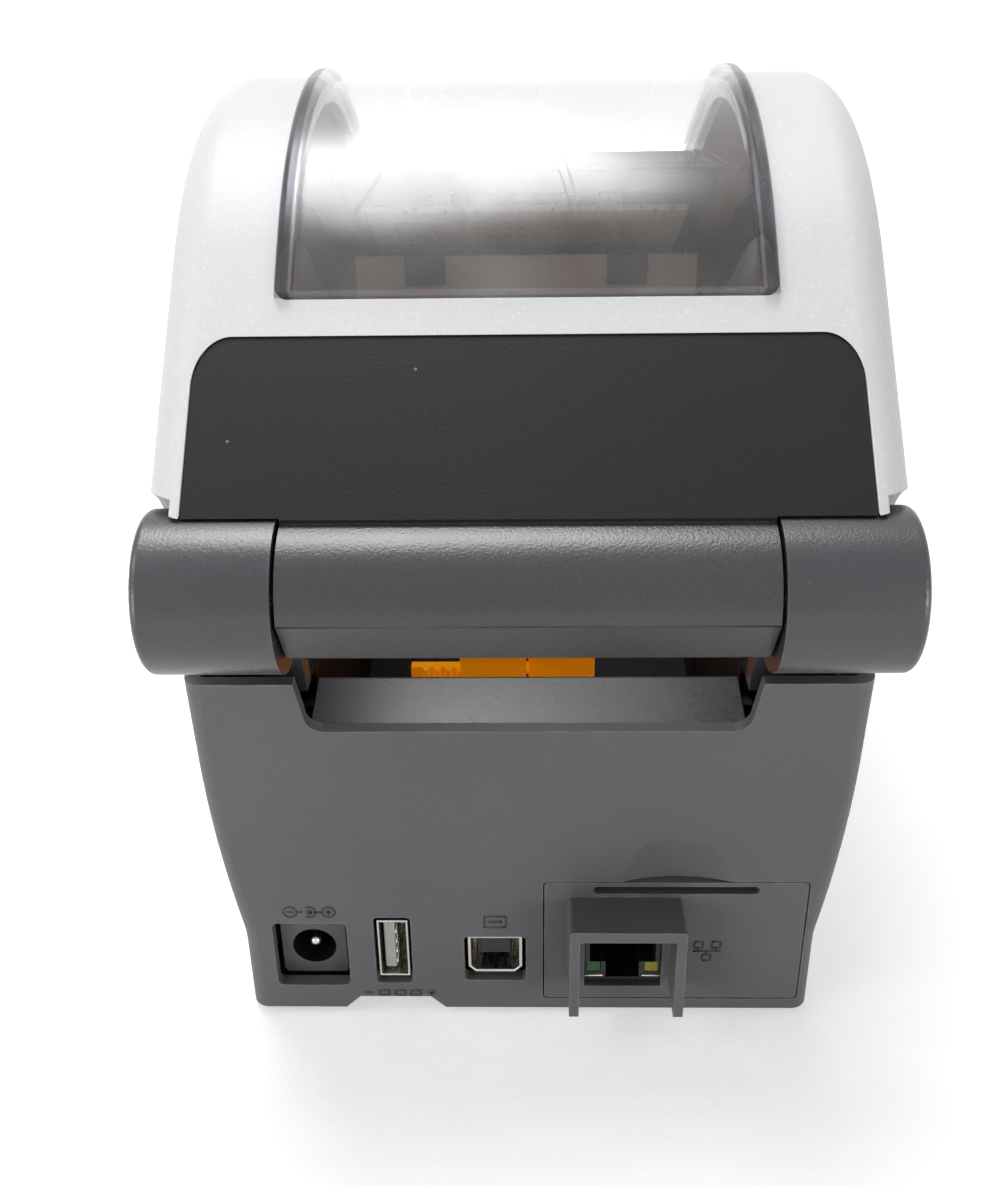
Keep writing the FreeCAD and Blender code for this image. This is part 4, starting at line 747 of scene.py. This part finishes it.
def on_slope(x, down, out):
    """A place on the sloping front: across, down the slope from its top, and out of its face."""
    lean = math.radians(SLOPE)
    top = (ARC_Y - SHELL_R * math.sin(lean), ARC_Z + SHELL_R * math.cos(lean))
    y = top[0] - down * math.cos(lean) - out * math.sin(lean)
    z = top[1] - down * math.sin(lean) + out * math.cos(lean)
    return (x, y, z)


def slope_bar(form, start, end, width, low=0.5, high=0.76):
    """A thin bar between two places, each given as x and distance down the slope."""
    corners = bar_corners(start, end, width)
    sweep(form, [[on_slope(c.x, c.y, level) for c in corners] for level in (low, high)])


def slope_ring(form, centre, radius, width, turns, low=0.5, high=0.76, steps=32):
    """Part of a flat ring on the sloping front."""
    rings = []
    for k in range(steps + 1):
        turn = math.radians(turns[0] + (turns[1] - turns[0]) * k / steps)
        ring = []
        for reach, level in ((-1, low), (1, low), (1, high), (-1, high)):
            far = radius + reach * width / 2
            ring.append(on_slope(centre[0] + far * math.cos(turn), centre[1] - far * math.sin(turn), level))
        rings.append(ring)
    sweep(form, rings)


def add_key_signs():
    """An arrow, two bars, a cross and a power ring, one on each key."""
    down = KEYS_DOWN
    form = bmesh.new()
    slope_bar(form, (FEED_X, down - 2.2), (FEED_X, down + 1.6), 0.7)
    for side in (-1.5, 1.5):
        slope_bar(form, (FEED_X + side, down + 0.4), (FEED_X, down + 2.0), 0.7)
    add_mesh("feed_sign", form, "key_sign", "feed_key")
    form = bmesh.new()
    for x in (PAUSE_X - 1.0, PAUSE_X + 1.0):
        slope_bar(form, (x, down - 1.7), (x, down + 1.7), 0.8)
    add_mesh("pause_sign", form, "key_sign", "pause_key")
    form = bmesh.new()
    for side in (1.5, -1.5):
        slope_bar(form, (CANCEL_X - side, down - 1.5), (CANCEL_X + side, down + 1.5), 0.7)
    add_mesh("cancel_sign", form, "key_sign", "cancel_key")
    form = bmesh.new()
    slope_ring(form, (POWER_X, down), 2.0, 0.6, (125, 415))
    slope_bar(form, (POWER_X, down - 2.6), (POWER_X, down - 0.3), 0.6)
    add_mesh("power_sign", form, "key_sign", "power_key")


add_window()
add_signs()
add_key_signs()
add_contacts()
add_barrel_seam()


# Stage: pale floor, soft lamps and camera

def seen_directly(nodes, links):
    """1 for rays from the camera, from mirrors and through clear pieces, 0 for rays that carry light."""
    path = nodes.new("ShaderNodeLightPath")
    result = path.outputs["Is Camera Ray"]
    for name in ("Is Glossy Ray", "Is Transmission Ray"):
        either = nodes.new("ShaderNodeMath")
        either.operation = "MAXIMUM"
        links.new(result, either.inputs[0])
        links.new(path.outputs[name], either.inputs[1])
        result = either.outputs["Value"]
    return result


def floor_paper():
    """Pale crumpled paper, lifted to white where it is looked at; its shadows stay."""
    paint = Paint("floor_paper")
    creases = paint.cells(0.02, "DISTANCE_TO_EDGE")
    paint.use(Base_Color=paint.mix(paint.noise(0.2), srgb(226, 226, 224), srgb(238, 238, 237)))
    paint.use(Normal=paint.bump(paint.plus(paint.noise(0.012, 4.0), creases), 0.0012, 0.35))
    paint.set(Roughness=0.85, Emission_Color=(1.0, 1.0, 0.99, 1.0))
    lift = paint.ramp(paint.off_line((0.0, 60.0, 0.0), (1.0, 1.0, 1.0)), 0.2, 0.7, FLOOR_LIFT, 1.0)
    paint.use(Emission_Strength=paint.times(seen_directly(paint.nodes, paint.links), lift))
    return paint.material


def add_floor():
    """A wide pale sheet that curves up behind the object."""
    mesh = bpy.data.meshes.new("floor")
    form = bmesh.new()
    rows = []
    for k in range(FLOOR_STEPS + 1):
        run = k / FLOOR_STEPS
        if run < FLAT_SHARE:
            y, z = FLOOR_START - FLOOR_RUN * run / FLAT_SHARE, 0.0
        else:
            turn = (run - FLAT_SHARE) / (1 - FLAT_SHARE) * math.pi / 2
            y = FLOOR_START - FLOOR_RUN - FLOOR_BEND * math.sin(turn)
            z = FLOOR_BEND * (1 - math.cos(turn)) * FLOOR_RISE
        rows.append([form.verts.new((x, y, z)) for x in (-FLOOR_HALF, FLOOR_HALF)])
    for first, second in zip(rows, rows[1:]):
        form.faces.new((first[0], first[1], second[1], second[0]))
    form.normal_update()
    form.to_mesh(mesh)
    form.free()
    floor = bpy.data.objects.new("floor", mesh)
    bpy.context.collection.objects.link(floor)
    mesh.materials.append(floor_paper())
    for face in mesh.polygons:
        face.use_smooth = True


def add_lamp(name, place, target, size, power):
    """A soft square lamp that faces its target."""
    lamp = bpy.data.lights.new(name, "AREA")
    lamp.size = size
    lamp.energy = power
    obj = bpy.data.objects.new(name, lamp)
    bpy.context.collection.objects.link(obj)
    obj.location = place
    aim = Vector(target) - Vector(place)
    obj.rotation_euler = aim.to_track_quat("-Z", "Y").to_euler()


def add_camera():
    """A camera at the photograph's place, turned by yaw, then pitch, then roll."""
    yaw, pitch, roll = (math.radians(a) for a in (CAMERA_YAW, CAMERA_PITCH, CAMERA_ROLL))
    ahead = Vector((math.sin(yaw) * math.cos(pitch), -math.cos(yaw) * math.cos(pitch), -math.sin(pitch)))
    right = Vector((-math.cos(yaw), -math.sin(yaw), 0.0))
    up = right.cross(ahead)
    right, up = math.cos(roll) * right + math.sin(roll) * up, math.cos(roll) * up - math.sin(roll) * right
    turn = Matrix((right, up, -ahead)).transposed()
    camera = bpy.data.cameras.new("camera")
    camera.sensor_width = SENSOR
    camera.lens = FOCAL_PIXELS * SENSOR / max(IMAGE_SIZE)
    camera.clip_start = 0.01
    obj = bpy.data.objects.new("camera", camera)
    bpy.context.collection.objects.link(obj)
    obj.matrix_world = Matrix.Translation(CAMERA_AT) @ turn.to_4x4()
    bpy.context.scene.camera = obj


def light_world():
    """Even pale surroundings; the camera, mirrors and glass see them white."""
    world = bpy.data.worlds.new("studio")
    world.use_nodes = True
    bpy.context.scene.world = world
    nodes, links = world.node_tree.nodes, world.node_tree.links
    back = nodes["Background"]
    back.inputs["Color"].default_value = (1.0, 1.0, 1.0, 1.0)
    strength = nodes.new("ShaderNodeMapRange")
    strength.inputs["To Min"].default_value = WORLD_LIGHT
    strength.inputs["To Max"].default_value = 1.0
    links.new(seen_directly(nodes, links), strength.inputs["Value"])
    links.new(strength.outputs["Result"], back.inputs["Strength"])


add_floor()
for lamp_values in LAMPS:
    add_lamp(*lamp_values)
light_world()
add_camera()
bpy.context.scene.view_settings.view_transform = "Standard"
